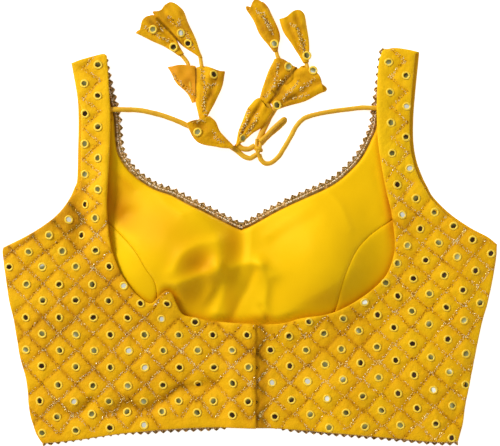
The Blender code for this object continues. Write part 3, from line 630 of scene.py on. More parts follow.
def embroidered_silk():
    look = Look("embroidered_silk", roughness=0.5, specular_ior_level=0.3)
    look.put("Sheen Weight", 0.12)
    look.put("Sheen Roughness", 0.4)
    look.put("Sheen Tint", (1.0, 0.55, 0.03))
    look.put("Specular Tint", (1.0, 0.72, 0.18))
    # The tone holds painted shade and painted light: the dark orange stops are painted shade, the palest
    # painted light
    base = look.ramp(
        look.tone(), (0.0, (0.12, 0.035, 0.001)), (0.16, (0.46, 0.17, 0.002)), (0.5, (0.80, 0.39, 0.003)),
        (1.0, (0.95, 0.56, 0.005)),
    )
    patches = look.share(look.speckle(28.0, 3.0), 0.35, 0.65, 0.3)
    base = look.mix(patches, base, (0.80, 0.36, 0.003))
    stretched = look.add("Mapping", {"Vector": look.place(), "Scale": (1.0, 0.12, 1.0)})
    slub = look.add("TexNoise", {"Vector": stretched, "Scale": 1400.0, "Detail": 1.0})
    look.put("Base Color", look.mix(look.share(slub, 0.4, 0.7, 0.22), base, (0.92, 0.56, 0.006)))
    look.weave(0.00045, 0.55, wrinkle=14.0)
    return look.material


def satin():
    look = Look("satin", roughness=0.42, specular_ior_level=0.25, sheen_weight=0.1, sheen_roughness=0.3)
    look.put("Sheen Tint", (1.0, 0.6, 0.03))
    look.put("Specular Tint", (1.0, 0.78, 0.15))
    # The tone holds painted shade and painted orange reflection: low tones are darker and more orange
    base = look.ramp(
        look.tone(), (0.0, (0.56, 0.17, 0.001)), (0.3, (0.76, 0.35, 0.002)), (0.55, (0.88, 0.50, 0.002)),
        (1.0, (0.95, 0.60, 0.004)),
    )
    clouds = look.share(look.speckle(16.0), 0.3, 0.7, 0.3)
    look.put("Base Color", look.mix(clouds, base, (0.93, 0.57, 0.003)))
    look.weave(0.0003, 0.25, wrinkle=3.0)
    return look.material


def bell_inside():
    look = Look("bell_inside", roughness=0.5, specular_ior_level=0.2)
    look.colour(look.speckle(60.0), (0.3, (0.80, 0.32, 0.003)), (0.7, (0.88, 0.40, 0.005)))
    look.weave(0.0003, 0.3)
    return look.material


def zari():
    look = Look("zari", metallic=0.3, roughness=0.36, specular_ior_level=0.35)
    look.put("Specular Tint", (1.0, 0.78, 0.3))
    # The palest tones are painted glints; the dark browns are partly the thread's own colour and partly
    # painted shade in the stitch troughs
    look.colour(
        look.tone(), (0.0, (0.16, 0.05, 0.002)), (0.35, (0.56, 0.24, 0.006)), (0.62, (1.0, 0.70, 0.12)),
        (0.85, (1.0, 0.88, 0.40)), (1.0, (1.0, 0.97, 0.75)),
    )
    return look.material


def mirror_thread():
    look = Look("mirror_thread", roughness=0.45, specular_ior_level=0.3)
    look.colour(look.speckle(700.0), (0.3, (0.90, 0.56, 0.025)), (0.7, (0.98, 0.72, 0.08)))
    return look.material


def mirror_glass():
    look = Look("mirror_glass", metallic=0.6, roughness=0.12)
    # Glass colour from near black through grey-green to white stands for painted reflections, whose tones
    # put_mirrors gives
    look.colour(
        look.tone(), (0.0, (0.035, 0.010, 0.002)), (0.32, (0.06, 0.03, 0.005)), (0.46, (0.20, 0.18, 0.04)),
        (0.72, (0.36, 0.34, 0.12)), (0.88, (0.55, 0.56, 0.30)), (0.96, (1.0, 1.0, 0.85)),
    )
    return look.material


def antique_beads():
    look = Look("antique_beads", metallic=0.3, roughness=0.35, specular_ior_level=0.35)
    look.put("Specular Tint", (1.0, 0.75, 0.4))
    # Dark brown to bronze is the beads' own colour; the palest pinkish tones are painted glints
    look.colour(
        look.tone(), (0.0, (0.08, 0.028, 0.003)), (0.4, (0.30, 0.17, 0.035)), (0.7, (0.90, 0.56, 0.24)),
        (1.0, (1.0, 0.88, 0.66)),
    )
    return look.material


def cord_cloth_tube():
    look = Look("cord_cloth_tube", roughness=0.5, specular_ior_level=0.3)
    look.colour(look.speckle(150.0, 3.0), (0.3, (0.68, 0.34, 0.006)), (0.7, (0.80, 0.44, 0.010)))
    look.weave(0.0004, 0.4)
    return look.material


def hook_steel_worn():
    look = Look("hook_steel_worn", metallic=1.0)
    look.colour(look.speckle(900.0), (0.3, (0.03, 0.02, 0.012)), (0.7, (0.10, 0.07, 0.04)))
    look.put("Roughness", look.share(look.speckle(1500.0), 0.3, 0.7, 0.5, least=0.25))
    return look.material


LOOKS = {
    "cloth": embroidered_silk(),
    "satin": satin(),
    "inside": bell_inside(),
    "zari": zari(),
    "ring": mirror_thread(),
    "glass": mirror_glass(),
    "lace": antique_beads(),
    "cord": cord_cloth_tube(),
    "steel": hook_steel_worn(),
}


def panel_outlines(step):
    """Closed outlines of every cut piece, in the same order of edges as they are sewn."""
    under_x = LAP_EDGE_X - LAP_WIDTH

    def edge(points):
        return smooth_curve(points, step)

    def revealed(points, amounts, span):
        curve = edge(points)
        curve[1:-1] = moved_aside(curve, fading_reveal(curve[:, 1], amounts, span))[1:-1]
        return curve

    def princess(points, side):
        return moved_aside(edge(points), side * PRINCESS_HALF_GAP)

    def lining_seam(points, side):
        return between(princess(points, side), LINING_FOOT_Y, LINING_SHOULDER_Y)

    def neck(points):
        curve = moved_aside(edge(points), -LINING_TRIM)
        return curve[curve[:, 1] <= LINING_TOP_Y]

    left_outer = revealed(LEFT_STRAP[:-1] + LEFT_ARMHOLE, LEFT_REVEAL, LEFT_REVEAL_SPAN)
    right_outer = revealed(RIGHT_ARMHOLE[:-1] + RIGHT_STRAP, RIGHT_REVEAL, RIGHT_REVEAL_SPAN)
    lap = edge([(LAP_EDGE_X, LEFT_HEM[-1][1]), (LAP_EDGE_X, BACK_NECK_LEFT[-1][1])])
    under_lap = edge([(under_x, BACK_NECK_RIGHT[0][1]), (under_x, RIGHT_HEM[0][1])])
    hem = edge([(under_x, RIGHT_HEM[0][1]), *RIGHT_HEM])
    left_strap = [*LEFT_STRAP[:-1], (-161, 62), LEFT_PRINCESS[0]]
    right_strap = [RIGHT_PRINCESS[0], (161.5, 64), *RIGHT_STRAP[1:]]
    pieces = {
        "back_left": [
            edge(LEFT_SHOULDER), left_outer, edge(LEFT_SIDE), edge(LEFT_HEM), lap,
            edge(BACK_NECK_LEFT[::-1]),
        ],
        "back_right": [
            under_lap, hem, edge(RIGHT_SIDE), right_outer, edge(RIGHT_SHOULDER), edge(BACK_NECK_RIGHT[::-1]),
        ],
        "front_centre": [
            edge([LEFT_STRAP[0], FRONT_NECK_LEFT[0]]), edge(FRONT_NECK_LEFT), edge(FRONT_NECK_RIGHT),
            edge([FRONT_NECK_RIGHT[-1], (147.5, 183), RIGHT_STRAP[-1]]), edge(right_strap[::-1]),
            princess(RIGHT_PRINCESS, -1), edge(FRONT_HEM_CENTRE[::-1]), princess(LEFT_PRINCESS, 1)[::-1],
            edge(left_strap[::-1]),
        ],
        "front_side_left": [
            edge([LEFT_PRINCESS[0], *LEFT_ARMHOLE[1:]]), edge(LEFT_SIDE[:-1] + [FRONT_HEM_LEFT[0]]),
            edge(FRONT_HEM_LEFT), princess(LEFT_PRINCESS, -1)[::-1],
        ],
        "front_side_right": [
            princess(RIGHT_PRINCESS, 1), edge(FRONT_HEM_RIGHT), edge([FRONT_HEM_RIGHT[-1], *RIGHT_SIDE[1:]]),
            edge([*RIGHT_ARMHOLE[:-1], RIGHT_PRINCESS[0]]),
        ],
    }
    left_seam, right_seam = lining_seam(LEFT_PRINCESS, 1), lining_seam(RIGHT_PRINCESS, -1)
    left_neck, right_neck = neck(FRONT_NECK_LEFT), neck(FRONT_NECK_RIGHT)
    point = np.array([(FRONT_NECK_LEFT[-1][0], FRONT_NECK_LEFT[-1][1] - LINING_TRIM)])
    left_side = edge([left_seam[0], (-152, 60), (-152, 90), (-151, LINING_TOP_Y)])
    right_side = edge([(145, LINING_TOP_Y), (145, 95), (147, 65), right_seam[0]])
    pieces["lining_centre"] = [
        left_side, edge([left_side[-1], left_neck[0]]), left_neck[:-1], np.vstack([left_neck[-2], point]),
        np.vstack([point, right_neck[1:]]), edge([right_neck[-1], right_side[0]]), right_side, right_seam,
        edge([right_seam[-1], left_seam[-1]]), left_seam[::-1],
    ]
    seam = lining_seam(LEFT_PRINCESS, -1)
    hidden = edge([seam[-1], (-122, -76), (-146, -52), (-160, -25), (-163, 2), (-157, 24), seam[0]])
    pieces["lining_side_left"] = [seam, hidden]
    seam = lining_seam(RIGHT_PRINCESS, 1)
    hidden = edge([seam[-1], (112, -84), (140, -66), (158, -36), (165, 0), (160, 24), seam[0]])
    pieces["lining_side_right"] = [seam, hidden]
    outlines = {}
    for name, runs in pieces.items():
        outline = outline_of(runs)
        after = np.roll(outline, -1, axis=0)
        turn = np.sum(outline[:, 0] * after[:, 1] - outline[:, 1] * after[:, 0])
        outlines[name] = outline if turn > 0 else outline[::-1]
    return outlines


# Cloth edges: the first row of points inside them, how far they roll down, how wide and how much from below
EDGE_ROW = 1.1
EDGE_ROLL = 0.75
EDGE_ROLL_WIDTH = 1.8
EDGE_ROLL_BELOW = 0.4
LEAST_CLOTH = 0.45


def filled(outline, step):
    """Plan points and upward triangles that fill an outline, with a row of points close inside its edge."""
    inset = moved_aside(np.vstack([outline, outline[:1]]), EDGE_ROW)[:-1]
    dense = tree_of(along_edges(outline))
    grid = lattice(outline.min(axis=0), outline.max(axis=0), step)
    grid = grid[inside_outline(grid, outline)]
    grid = grid[near(dense, *grid.T) > EDGE_ROW + step * 0.45]
    inset = inset[inside_outline(inset, outline) & (near(dense, *inset.T) > 0.8)]
    count = len(outline)
    edges = [(i, (i + 1) % count) for i in range(count)]
    corners = [Vector(point) for point in np.vstack([outline, inset, grid])]
    points, _, faces, *_ = delaunay_2d_cdt(corners, edges, [], 1, 1e-6)
    points = np.array([tuple(point) for point in points])
    return points, faces, near(dense, *points.T)


def cloth_shell(name, outline, step, low_of, thickness, detail_of, material, tone_of=None):
    """A thin closed cloth on its solid's form, with rolled edges and fine relief on its upper side."""
    points, faces, from_edge = filled(outline, step)
    x, y = points.T
    low = low_of(x, y)
    relief = detail_of(x, y)
    roll = EDGE_ROLL * (1 - smooth_step(from_edge, 0.0, EDGE_ROLL_WIDTH))
    high = low + thickness + relief - roll
    low = np.minimum(low + roll * EDGE_ROLL_BELOW, high - LEAST_CLOTH)
    count = len(points)
    corners = np.vstack([np.column_stack([x, y, high]), np.column_stack([x, y, low])])
    sides = {(a, b) for face in faces for a, b in zip(face, [*face[1:], face[0]])}
    rim = [(b, a, a + count, b + count) for a, b in sorted(sides) if (b, a) not in sides]
    under = [tuple(index + count for index in reversed(face)) for face in faces]
    tone = tone_of(x, y) if tone_of else np.full(count, 0.5)
    return build(name, corners, [tuple(face) for face in faces] + under + rim, material,
                 replaces=[name.removesuffix("_cloth")], tones={"tone": np.concatenate([tone, tone])})


OUTLINES = panel_outlines(CLOTH_STEP)


# Folds of the cloth: how far each side reaches, how high, below zero for a trough, and the line of the crest
Fold = namedtuple("Fold", "left right height path")
LINING_FOLDS = [
    Fold(18, 15, 6.8, [(-50, 34), (-36, 18), (-29, 4), (-27, -20)]),
    Fold(24, 5.5, 4.4, [(2, 24), (1, 12), (1, 0), (0, -14)]),
    Fold(8, 5, 2.8, [(-15, -19.5), (-4, -15.5), (10.5, -16.5), (17, -20.5), (21, -27)]),
    Fold(17, 8, 5.6, [(-28, -17), (-23, -30), (-24, -43), (-28, -56), (-36, -76)]),
    Fold(4, 5, -1.6, [(5.5, -22), (-1.5, -37), (-12, -58), (-18, -72)]),
    Fold(5, 12, 3.4, [(11.5, -18.5), (15.5, -36), (13.5, -55), (12.5, -74)]),
    Fold(5, 15, 3.0, [(-70, -36), (-54, -30), (-41, -25)]),
    Fold(7, 22, 4.8, [(-69, -22), (-61, -7), (-47, 1), (-31, 4)]),
    Fold(8, 8, 1.2, [(17, 10), (33, 22), (58, 38)]),
    Fold(6, 6, -0.7, [(22, 4), (36, 14), (60, 27)]),
    Fold(24, 13, 3.8, [(28, -64), (58, -45), (86, -28)]),
    Fold(2.2, 3.2, -1.6, [(11.5, -56), (18, -70)]),
    Fold(2.0, 2.6, -1.0, [(-129, 69), (-118, 61), (-107, 51)]),
    Fold(12, 7, -2.8, [(-131, 46), (-121, 27), (-112, 16)]),
    Fold(3, 4, 0.7, [(-92, 62), (-78, 41), (-62, 30)]),
    Fold(3, 5, 0.7, [(70, 55), (84, 38), (93, 16)]),
    Fold(4, 4, -0.8, [(118, 70), (124, 48), (126, 30)]),
]
BACK_FOLDS = [
    Fold(3.2, 6, -2.6, [(-178, -150), (-173.5, -154.5), (-165, -157), (-155, -153), (-147, -143)]),
    Fold(3.0, 6.5, -2.6, [
        (-133, -156), (-120.5, -153.5), (-111, -148.5), (-97, -152), (-83, -145.5), (-64, -132), (-33, -128),
    ]),
    Fold(9, 14, 1.7, [(-170, -142), (-140, -138), (-110, -136)]),
    Fold(7, 9, 1.2, [(-188, 24), (-178, -20), (-176, -60)]),
    Fold(6, 10, -0.9, [(-214, -60), (-196, -78), (-184, -104)]),
    Fold(8, 12, 1.1, [(-60, -92), (-40, -112), (-12, -120)]),
    Fold(5, 9, -0.9, [(20, -100), (44, -112), (80, -108)]),
    Fold(9, 13, 1.4, [(60, -136), (100, -128), (150, -132)]),
    Fold(5, 10, -1.0, [(110, -84), (140, -60), (172, -54)]),
    Fold(8, 10, 1.2, [(196, -30), (204, -64), (200, -110)]),
    Fold(4, 7, -1.0, [(214, -112), (196, -138), (188, -164)]),
    Fold(3, 6, -0.8, [(142, 60), (160, 36), (186, 28)]),
    Fold(4, 4, 0.6, [(-152, 160), (-150, 110), (-156, 70)]),
    Fold(4, 4, 0.6, [(138, 160), (139, 110), (140, 70)]),
    Fold(9, 9, 3.6, [(-133, 82), (-134, 50), (-133, 22), (-129, 0)]),
    Fold(18, 6, -3.4, [(-158, 2), (-157, 30), (-156, 54)]),
    Fold(9, 5, 1.3, [(4, -176), (4, -120), (4, -76)]),
    Fold(6, 7, -1.9, [(-133, 34), (-132, 18), (-128.4, 1), (-121, -21), (-108, -41), (-97, -50)]),
]


def fold_relief(folds, x, y):
    """Soft ridges and troughs, each gentle on one side of its line and steeper on the other."""
    total = np.zeros(np.shape(x))
    for fold in folds:
        path = smooth_curve(fold.path, PATH_STEP)
        off, side = np.full(np.shape(x), 1e6), np.zeros(np.shape(x))
        for (x0, y0), (x1, y1) in zip(path, path[1:]):
            dx, dy = x1 - x0, y1 - y0
            share = np.clip(((x - x0) * dx + (y - y0) * dy) / (dx * dx + dy * dy), 0, 1)
            gap_x, gap_y = x - x0 - dx * share, y - y0 - dy * share
            here = np.hypot(gap_x, gap_y) + 1e-6
            closer = here < off
            side = np.where(closer, (dx * gap_y - dy * gap_x) / (here * math.hypot(dx, dy)), side)
            off = np.where(closer, here, off)
        width = (fold.left + fold.right) / 2 + (fold.left - fold.right) / 2 * side
        total += fold.height * np.exp(-((off / width) ** 1.6))
    return total


# Deepest troughs that stay off the layer below
LINING_TROUGH = 1.2
BACK_TROUGH = 3.0


def no_deeper(relief, limit):
    """Relief whose troughs never reach the layer below."""
    return np.where(relief < 0, -limit * np.tanh(-relief / limit), relief)


def past_neckline(x, y):
    """How far inside the back's neck opening each point lies, below zero where the back covers it."""
    points = np.column_stack([np.ravel(x), np.ravel(y)])
    covered = inside_outline(points, OUTLINES["back_left"]) | inside_outline(points, OUTLINES["back_right"])
    return distance_to(NECK_PATH, x, y) * np.where(covered.reshape(np.shape(x)), -1, 1)


def lining_relief(x, y):
    """Folds of the satin inside the neck opening, with fine wrinkles between them."""
    seen = smooth_step(past_neckline(x, y), -1.0, 9.0)
    folds = fold_relief(LINING_FOLDS, x, y) * seen + 0.3 * noise(x, y, 26, 3) + 0.16 * noise(x, y, 11, 8)
    return no_deeper(folds, LINING_TROUGH)


# Patches of painted shade and painted orange reflection on the lining, where cloth shades and reflects onto
# cloth, painted lighter where the amount is below zero: centre, both radii and how much
PaintedShade = namedtuple("PaintedShade", "x y across along amount")
PAINTED_SHADE_PATCHES = [
    PaintedShade(-122, 52, 17, 18, 0.36), PaintedShade(-121, 30, 15, 13, 0.48), PaintedShade(-16, 5, 10, 20, 0.26),
    PaintedShade(-47, -14, 21, 15, 0.36), PaintedShade(-118, -14, 12, 26, -0.40), PaintedShade(-88, 18, 32, 24, 0.26),
    PaintedShade(-55, -48, 22, 17, 0.26), PaintedShade(-18, -48, 8, 26, 0.22), PaintedShade(12, -66, 12, 5, 0.30),
    PaintedShade(78, -50, 34, 14, 0.24), PaintedShade(121, -24, 16, 22, 0.12), PaintedShade(130, 34, 5, 40, 0.35),
    PaintedShade(-30, 30, 16, 12, 0.10),
]


# Width of the shade under the back's edge, and how far off a hollow is measured
EDGE_SHADE = 3.5
HOLLOW_SIZE = 8


def lining_painted_shade(x, y):
    """Painted shade under the back's edge and in hollows, painted light on ridges, and painted orange
    reflection where cloth reflects cloth.
    """
    painted_edge_shade = np.exp(-((np.maximum(past_neckline(x, y), 0) / EDGE_SHADE) ** 2))
    steps = ((HOLLOW_SIZE, 0), (-HOLLOW_SIZE, 0), (0, HOLLOW_SIZE), (0, -HOLLOW_SIZE))
    around = sum(fold_relief(LINING_FOLDS, x + dx, y + dy) for dx, dy in steps) / 4
    hollow = fold_relief(LINING_FOLDS, x, y) - around
    # Painted shade by the back's edge and in hollows, painted light on ridges
    tone = 0.62 - 0.3 * painted_edge_shade + 0.06 * np.clip(hollow, -2.5, 2)
    for painted_light in PAINTED_SHADE_PATCHES:
        off_x, off_y = (x - painted_light.x) / painted_light.across, (y - painted_light.y) / painted_light.along
        tone = tone - painted_light.amount * np.exp(-(off_x ** 2) - off_y ** 2)
    return np.clip(tone, 0, 1)


# Relief of the embroidered cloth: pressed in by gold lines, swollen between them, puckered round mirrors,
# raised along the lap and held down at the hooks
LINE_DEPTH = 0.85
LINE_WIDTH = 1.9
PILLOW = 0.55
PILLOW_REACH = 9.0
PUCKER = 0.28
PUCKER_RADIUS = 5.5
PUCKER_WIDTH = 3.0
LAP_RIDGE = 0.9
LAP_RIDGE_WIDTH = 6
HOOK_DIP = (4, 3.4)

# Shade at the armhole and light of the whole panel, for the left and the right one
ARMHOLE_SHADE = (0.26, 0.14)
ARMHOLE_SHADE_WIDTH = 10
PANEL_LIGHT = (0.0, 0.12)


class Embroidery:
    """The diamond lattice of one back panel: its mirrors, its gold lines and its relief and tone."""

    def __init__(self, runs, outline, armhole, hidden_x=-1000.0, extra=()):
        self.outline = outline
        self.lap = hidden_x
        self.under_lap = int(hidden_x > 0)
        self.armhole = smooth_curve(armhole, PATH_STEP)
        self.mirrors, self.places = mirror_places(runs, outline, hidden_x)
        self.lines = zari_lines(self.places) + [(np.array(a), np.array(b)) for a, b in extra]
        self.tree = tree_of(np.vstack([along_line(a, b, 1.0) for a, b in self.lines]))
        self.mirror_tree = tree_of(self.mirrors)

    def tension(self, x, y):
        """Short wrinkles that fan out from the stitched mirrors."""
        flat = []
        for a, b in zip(np.ravel(x), np.ravel(y)):
            centre, number, off = self.mirror_tree.find((a, b, 0.0))
            turn = math.atan2(b - centre[1], a - centre[0])
            fade = math.exp(-(((off - PUCKER_RADIUS) / PUCKER_WIDTH) ** 2))
            flat.append(math.sin(5 * turn + number) * fade)
        return np.array(flat).reshape(np.shape(x))

    def relief(self, x, y):
        off = near(self.tree, x, y)
        depth = 0.8 + 0.5 * noise(x, y, 30, 5)
        trough = -LINE_DEPTH * depth * np.exp(-((off / LINE_WIDTH) ** 2))
        pillow = PILLOW * smooth_step(off, 0.0, PILLOW_REACH)
        uneven = 0.7 * noise(x, y, 42, 11) + 0.34 * noise(x, y, 15, 2) + 0.17 * noise(x, y, 6, 6)
        total = trough + pillow + uneven + PUCKER * self.tension(x, y) + fold_relief(BACK_FOLDS, x, y)
        if self.under_lap:
            total += LAP_RIDGE * np.exp(-(((x - self.lap - 1) / LAP_RIDGE_WIDTH) ** 2))
            for hook_y in HOOKS.values():
                off_x, off_y = (x - self.lap) / HOOK_DIP[0], (y - hook_y) / HOOK_DIP[1]
                total *= 1 - np.exp(-(off_x ** 2) - off_y ** 2)
        return no_deeper(total, BACK_TROUGH)

    def tone(self, x, y):
        """Painted shade along gold lines, by the lap, in folds and at the armhole, and painted light up the
        straps and over the right panel.
        """
        off = near(self.tree, x, y)
        # Painted shade along the gold lines and in the troughs of the folds, and a painted shadow beside the
        # lap's edge
        dark = 0.36 * np.exp(-((off / 1.7) ** 2)) + 0.10 * np.exp(-((off / 4.5) ** 2))
        folded = 0.13 * np.clip(-fold_relief(BACK_FOLDS, x, y) - 0.6, 0, 2)
        dark += 0.42 * np.exp(-(((x - self.lap - 3) / 6) ** 2)) + folded
        from_armhole = distance_to(self.armhole, x, y) / ARMHOLE_SHADE_WIDTH
        dark += ARMHOLE_SHADE[self.under_lap] * np.exp(-(from_armhole ** 2))
        # Painted light up the straps and over the right panel
        light = 0.62 + 0.20 * smooth_step(y, 10, 80) + PANEL_LIGHT[self.under_lap]
        return np.clip(light - dark + 0.16 * noise(x, y, 24, 9), 0, 1)


# One more short gold line at the left neckline
SHORT_LINE = ((-88.0, -56.0), (-77.5, -40.5))
LEFT_WORK = Embroidery(LEFT_MIRRORS, OUTLINES["back_left"], LEFT_ARMHOLE, extra=[SHORT_LINE])
RIGHT_WORK = Embroidery(RIGHT_MIRRORS, OUTLINES["back_right"], RIGHT_ARMHOLE, hidden_x=LAP_EDGE_X + 2)

# Both back panels with their embroidery and the form that they lie on
BACKS = [("back_left", LEFT_WORK, left_back_bottom), ("back_right", RIGHT_WORK, back_bottom)]


def no_relief(x, y):
    return np.zeros(np.shape(x))


def make_panels():
    for name, work, low in BACKS:
        cloth_shell(name + "_cloth", OUTLINES[name], CLOTH_STEP, low, BACK_CLOTH, work.relief,
                    LOOKS["cloth"], work.tone)
    for name in ("lining_centre", "lining_side_left", "lining_side_right"):
        cloth_shell(name + "_cloth", OUTLINES[name], CLOTH_STEP, lining_bottom, LINING_CLOTH, lining_relief,
                    LOOKS["satin"], lining_painted_shade)
    for name in ("front_centre", "front_side_left", "front_side_right"):
        cloth_shell(name + "_cloth", OUTLINES[name], UNDER_STEP, front_bottom, FRONT_CLOTH, no_relief,
                    LOOKS["cloth"])


def frames_on(height, x, y, turn):
    """Points on a height field with unit vectors ahead, aside and up from it."""
    step = 0.7
    slope_x = (height(x + step, y) - height(x - step, y)) / (2 * step)
    slope_y = (height(x, y + step) - height(x, y - step)) / (2 * step)
    up = np.column_stack([-slope_x, -slope_y, np.ones(len(x))])
    up /= np.linalg.norm(up, axis=1)[:, None]
    ahead = np.column_stack([np.cos(turn), np.sin(turn), np.cos(turn) * slope_x + np.sin(turn) * slope_y])
    ahead /= np.linalg.norm(ahead, axis=1)[:, None]
    return np.column_stack([x, y, height(x, y)]), ahead, np.cross(up, ahead), up


def copies(shape, frames, sizes, lift=0.0):
    """Corners and faces of many copies of one small shape in the given frames."""
    corners, faces = shape
    centre, ahead, aside, up = frames
    sizes = np.broadcast_to(np.asarray(sizes, float), (len(centre), 3))
    placed = (
        centre[:, None, :]
        + ahead[:, None, :] * (corners[None, :, 0] * sizes[:, None, 0])[:, :, None]
        + aside[:, None, :] * (corners[None, :, 1] * sizes[:, None, 1])[:, :, None]
        + up[:, None, :] * (corners[None, :, 2] * sizes[:, None, 2] + lift)[:, :, None]
    )
    starts = range(0, len(centre) * len(corners), len(corners))
    joined = [tuple(index + start for index in face) for start in starts for face in faces]
    return placed.reshape(-1, 3), joined


def cut_bead():
    """A small faceted bead with its length along x."""
    corners = np.array([(-1, 0, 0), (0, -1, 0), (0, 0, 1), (0, 1, 0), (1, 0, 0), (0, 0, -0.6)], float)
    faces = [(0, 1, 2), (0, 2, 3), (4, 2, 1), (4, 3, 2), (0, 5, 1), (0, 3, 5), (4, 1, 5), (4, 5, 3)]
    return corners, faces


def round_bead(around=8, rows=4):
    """A bead of rings between two poles."""
    corners, faces = [(0, 0, -1)], []
    for row in range(1, rows):
        tilt = math.pi * row / rows
        for k in range(around):
            turn = 2 * math.pi * k / around
            out = math.sin(tilt)
            corners.append((out * math.cos(turn), out * math.sin(turn), -math.cos(tilt)))
    corners.append((0, 0, 1))
    last = len(corners) - 1
    for k in range(around):
        after = (k + 1) % around
        faces.append((0, 1 + after, 1 + k))
        for row in range(rows - 2):
            a, b = 1 + row * around, 1 + (row + 1) * around
            faces.append((a + k, a + after, b + after, b + k))
        top = 1 + (rows - 2) * around
        faces.append((top + k, top + after, last))
    return np.array(corners, float), faces


def thread_ring(inner, outer, height, around=26, across=5):
    """A stitched ring with an uneven inner edge, where each second wrap of thread stands out a little."""
    corners, faces = [], []
    middle, half = (inner + outer) / 2, (outer - inner) / 2
    for k in range(around):
        turn = 2 * math.pi * k / around
        wrap = 1.0 if k % 2 else 0.84
        for j in range(across):
            roll = 2 * math.pi * j / across
            out = middle + half * wrap * math.cos(roll)
            out += 0.24 * min(math.cos(roll), 0.0) * (math.sin(2 * turn + 1) + 0.7 * math.sin(5 * turn))
            z = height * wrap * (0.5 + 0.5 * math.sin(roll))
            corners.append((out * math.cos(turn), out * math.sin(turn), z))
    for k in range(around):
        for j in range(across):
            a, b = k * across, (k + 1) % around * across
            faces.append((a + j, b + j, b + (j + 1) % across, a + (j + 1) % across))
    return np.array(corners, float), faces


def disc(radius, height, around=14):
    """A closed disc with rows of points across its face, so that its tone can change over it."""
    corners = [(0, 0, height)]
    turns = [2 * math.pi * k / around for k in range(around)]
    for out, z in ((radius * 0.5, height), (radius, height), (radius, 0.0)):
        corners += [(out * math.cos(turn), out * math.sin(turn), z) for turn in turns]
    pairs = [(k, (k + 1) % around) for k in range(around)]
    faces = [(0, 1 + k, 1 + after) for k, after in pairs]
    for row in (1, 1 + around):
        faces += [(row + k, row + around + k, row + around + after, row + after) for k, after in pairs]
    faces.append(tuple(reversed(range(1 + 2 * around, 1 + 3 * around))))
    return np.array(corners, float), faces


# Ring of a mirror: inner and outer radius and height, and the plainer one on the outer side of the front,
# with its faces round and across
RING = (2.05, 4.2, 1.1)
FLAT_RING = (2.15, 4.15, 1.05, 16, 4)
MIRROR_RADIUS = 2.45
MIRROR_HEIGHT = 0.5
# Share of glasses painted white, as painted glints of the lamp
PAINTED_GLINT_SHARE = 0.10


def random_sizes(rng, count, *limits):
    """One column of random sizes for each pair of limits."""
    return np.column_stack([rng.uniform(low, high, count) for low, high in limits])


def put_mirrors(name, frames, rng, flatness=1.0, ring=RING, lift=-0.2):
    """A thread ring round a small tilted glass in every frame."""
    count = len(frames[0])
    sizes = random_sizes(rng, count, (0.95, 1.06), (0.95, 1.06), (0.8, 1.1))
    sizes[:, 2] *= flatness
    corners, faces = copies(thread_ring(*ring), frames, sizes, lift * flatness)
    rings = build(name + "_rings", corners, faces, LOOKS["ring"])
    shape = disc(MIRROR_RADIUS, MIRROR_HEIGHT * flatness)
    centre, ahead, aside, up = frames
    tilt = rng.normal(0, 0.05, (count, 2))
    tilt -= 0.5 * np.column_stack([ahead[:, 2], aside[:, 2]]) * np.sign(up[:, 2:])
    up = up - ahead * tilt[:, :1] - aside * tilt[:, 1:]
    tilted = (centre, ahead + up * tilt[:, :1], aside + up * tilt[:, 1:], up)
    corners, faces = copies(shape, tilted, 1.0, lift * flatness)
    # Painted reflection: a tone for each glass, white for a share of them, and a gradient across each disc
    painted_reflection_slope = rng.uniform(0.08, 0.36, count)[:, None] * shape[0][None, :, 0] / MIRROR_RADIUS
    bright = np.where(rng.uniform(0, 1, count) < PAINTED_GLINT_SHARE, 1.1, rng.uniform(0.10, 0.80, count))
    tone = np.clip(bright[:, None] + painted_reflection_slope, 0, 1).ravel()
    glass = build(name + "_glass", corners, faces, LOOKS["glass"], smooth=False,
                  tones={"tone": tone})
    return [rings, glass]


def put_beads(name, frames, rng, painted_light, lift=0.1):
    """Small cut beads, each turned its own way, of which a share is painted bright as glints and the rest
    dark, partly the thread's own brown and partly painted shade.
    """
    count = len(frames[0])
    shape = cut_bead()
    sizes = random_sizes(rng, count, (0.45, 0.95), (0.22, 0.40), (0.3, 0.5))
    corners, faces = copies(shape, frames, sizes, lift)
    bright = rng.uniform(0, 1, count) < painted_light
    tone = np.where(bright, rng.normal(0.84, 0.14, count), rng.normal(0.24, 0.13, count))
    tone = np.repeat(np.clip(tone, 0, 1), len(shape[0]))
    return build(name + "_zari", corners, faces, LOOKS["zari"], smooth=False,
                 tones={"tone": tone})


# Rows of beads along each gold line, on the back and on the front: the step and the places of the rows
BACK_ROWS = (1.05, (-0.95, 0.0, 0.95))
FRONT_ROWS = (1.3, (-0.7, 0.7))


def bead_rows(lines, step, sides, rng):
    """Uneven rows of places along lines, with the way each bead turns."""
    points, turns = [], []
    for a, b in lines:
        row = along_line(a, b, step)
        turn = math.atan2(b[1] - a[1], b[0] - a[0])
        for side in sides:
            aside = side * np.array([-math.sin(turn), math.cos(turn)])
            points.append(row + aside + rng.normal(0, 0.3, (len(row), 2)))
            turns.append(turn + rng.normal(0, 0.6, len(row)))
    return np.vstack(points), np.concatenate(turns)


def put_zari(name, work, height, rng):
    """Uneven rows of cut beads along every line of the lattice, with gaps, and stretches where fewer beads
    are painted bright as glints.
    """
    points, turns = bead_rows(work.lines, *BACK_ROWS, rng)
    dense = tree_of(along_edges(work.outline))
    keep = inside_outline(points, work.outline) & (near(dense, *points.T) > 1.4)
    keep &= rng.uniform(-0.35, 1, len(points)) < 0.36 + 0.5 * noise(*points.T, 11, 14)
    x, y = points[keep].T
    # Painted glints come in clusters
    painted_light = 0.52 + 0.4 * noise(x, y, 18, 21)
    put_beads(name, frames_on(height, x, y, turns[keep]), rng, painted_light)


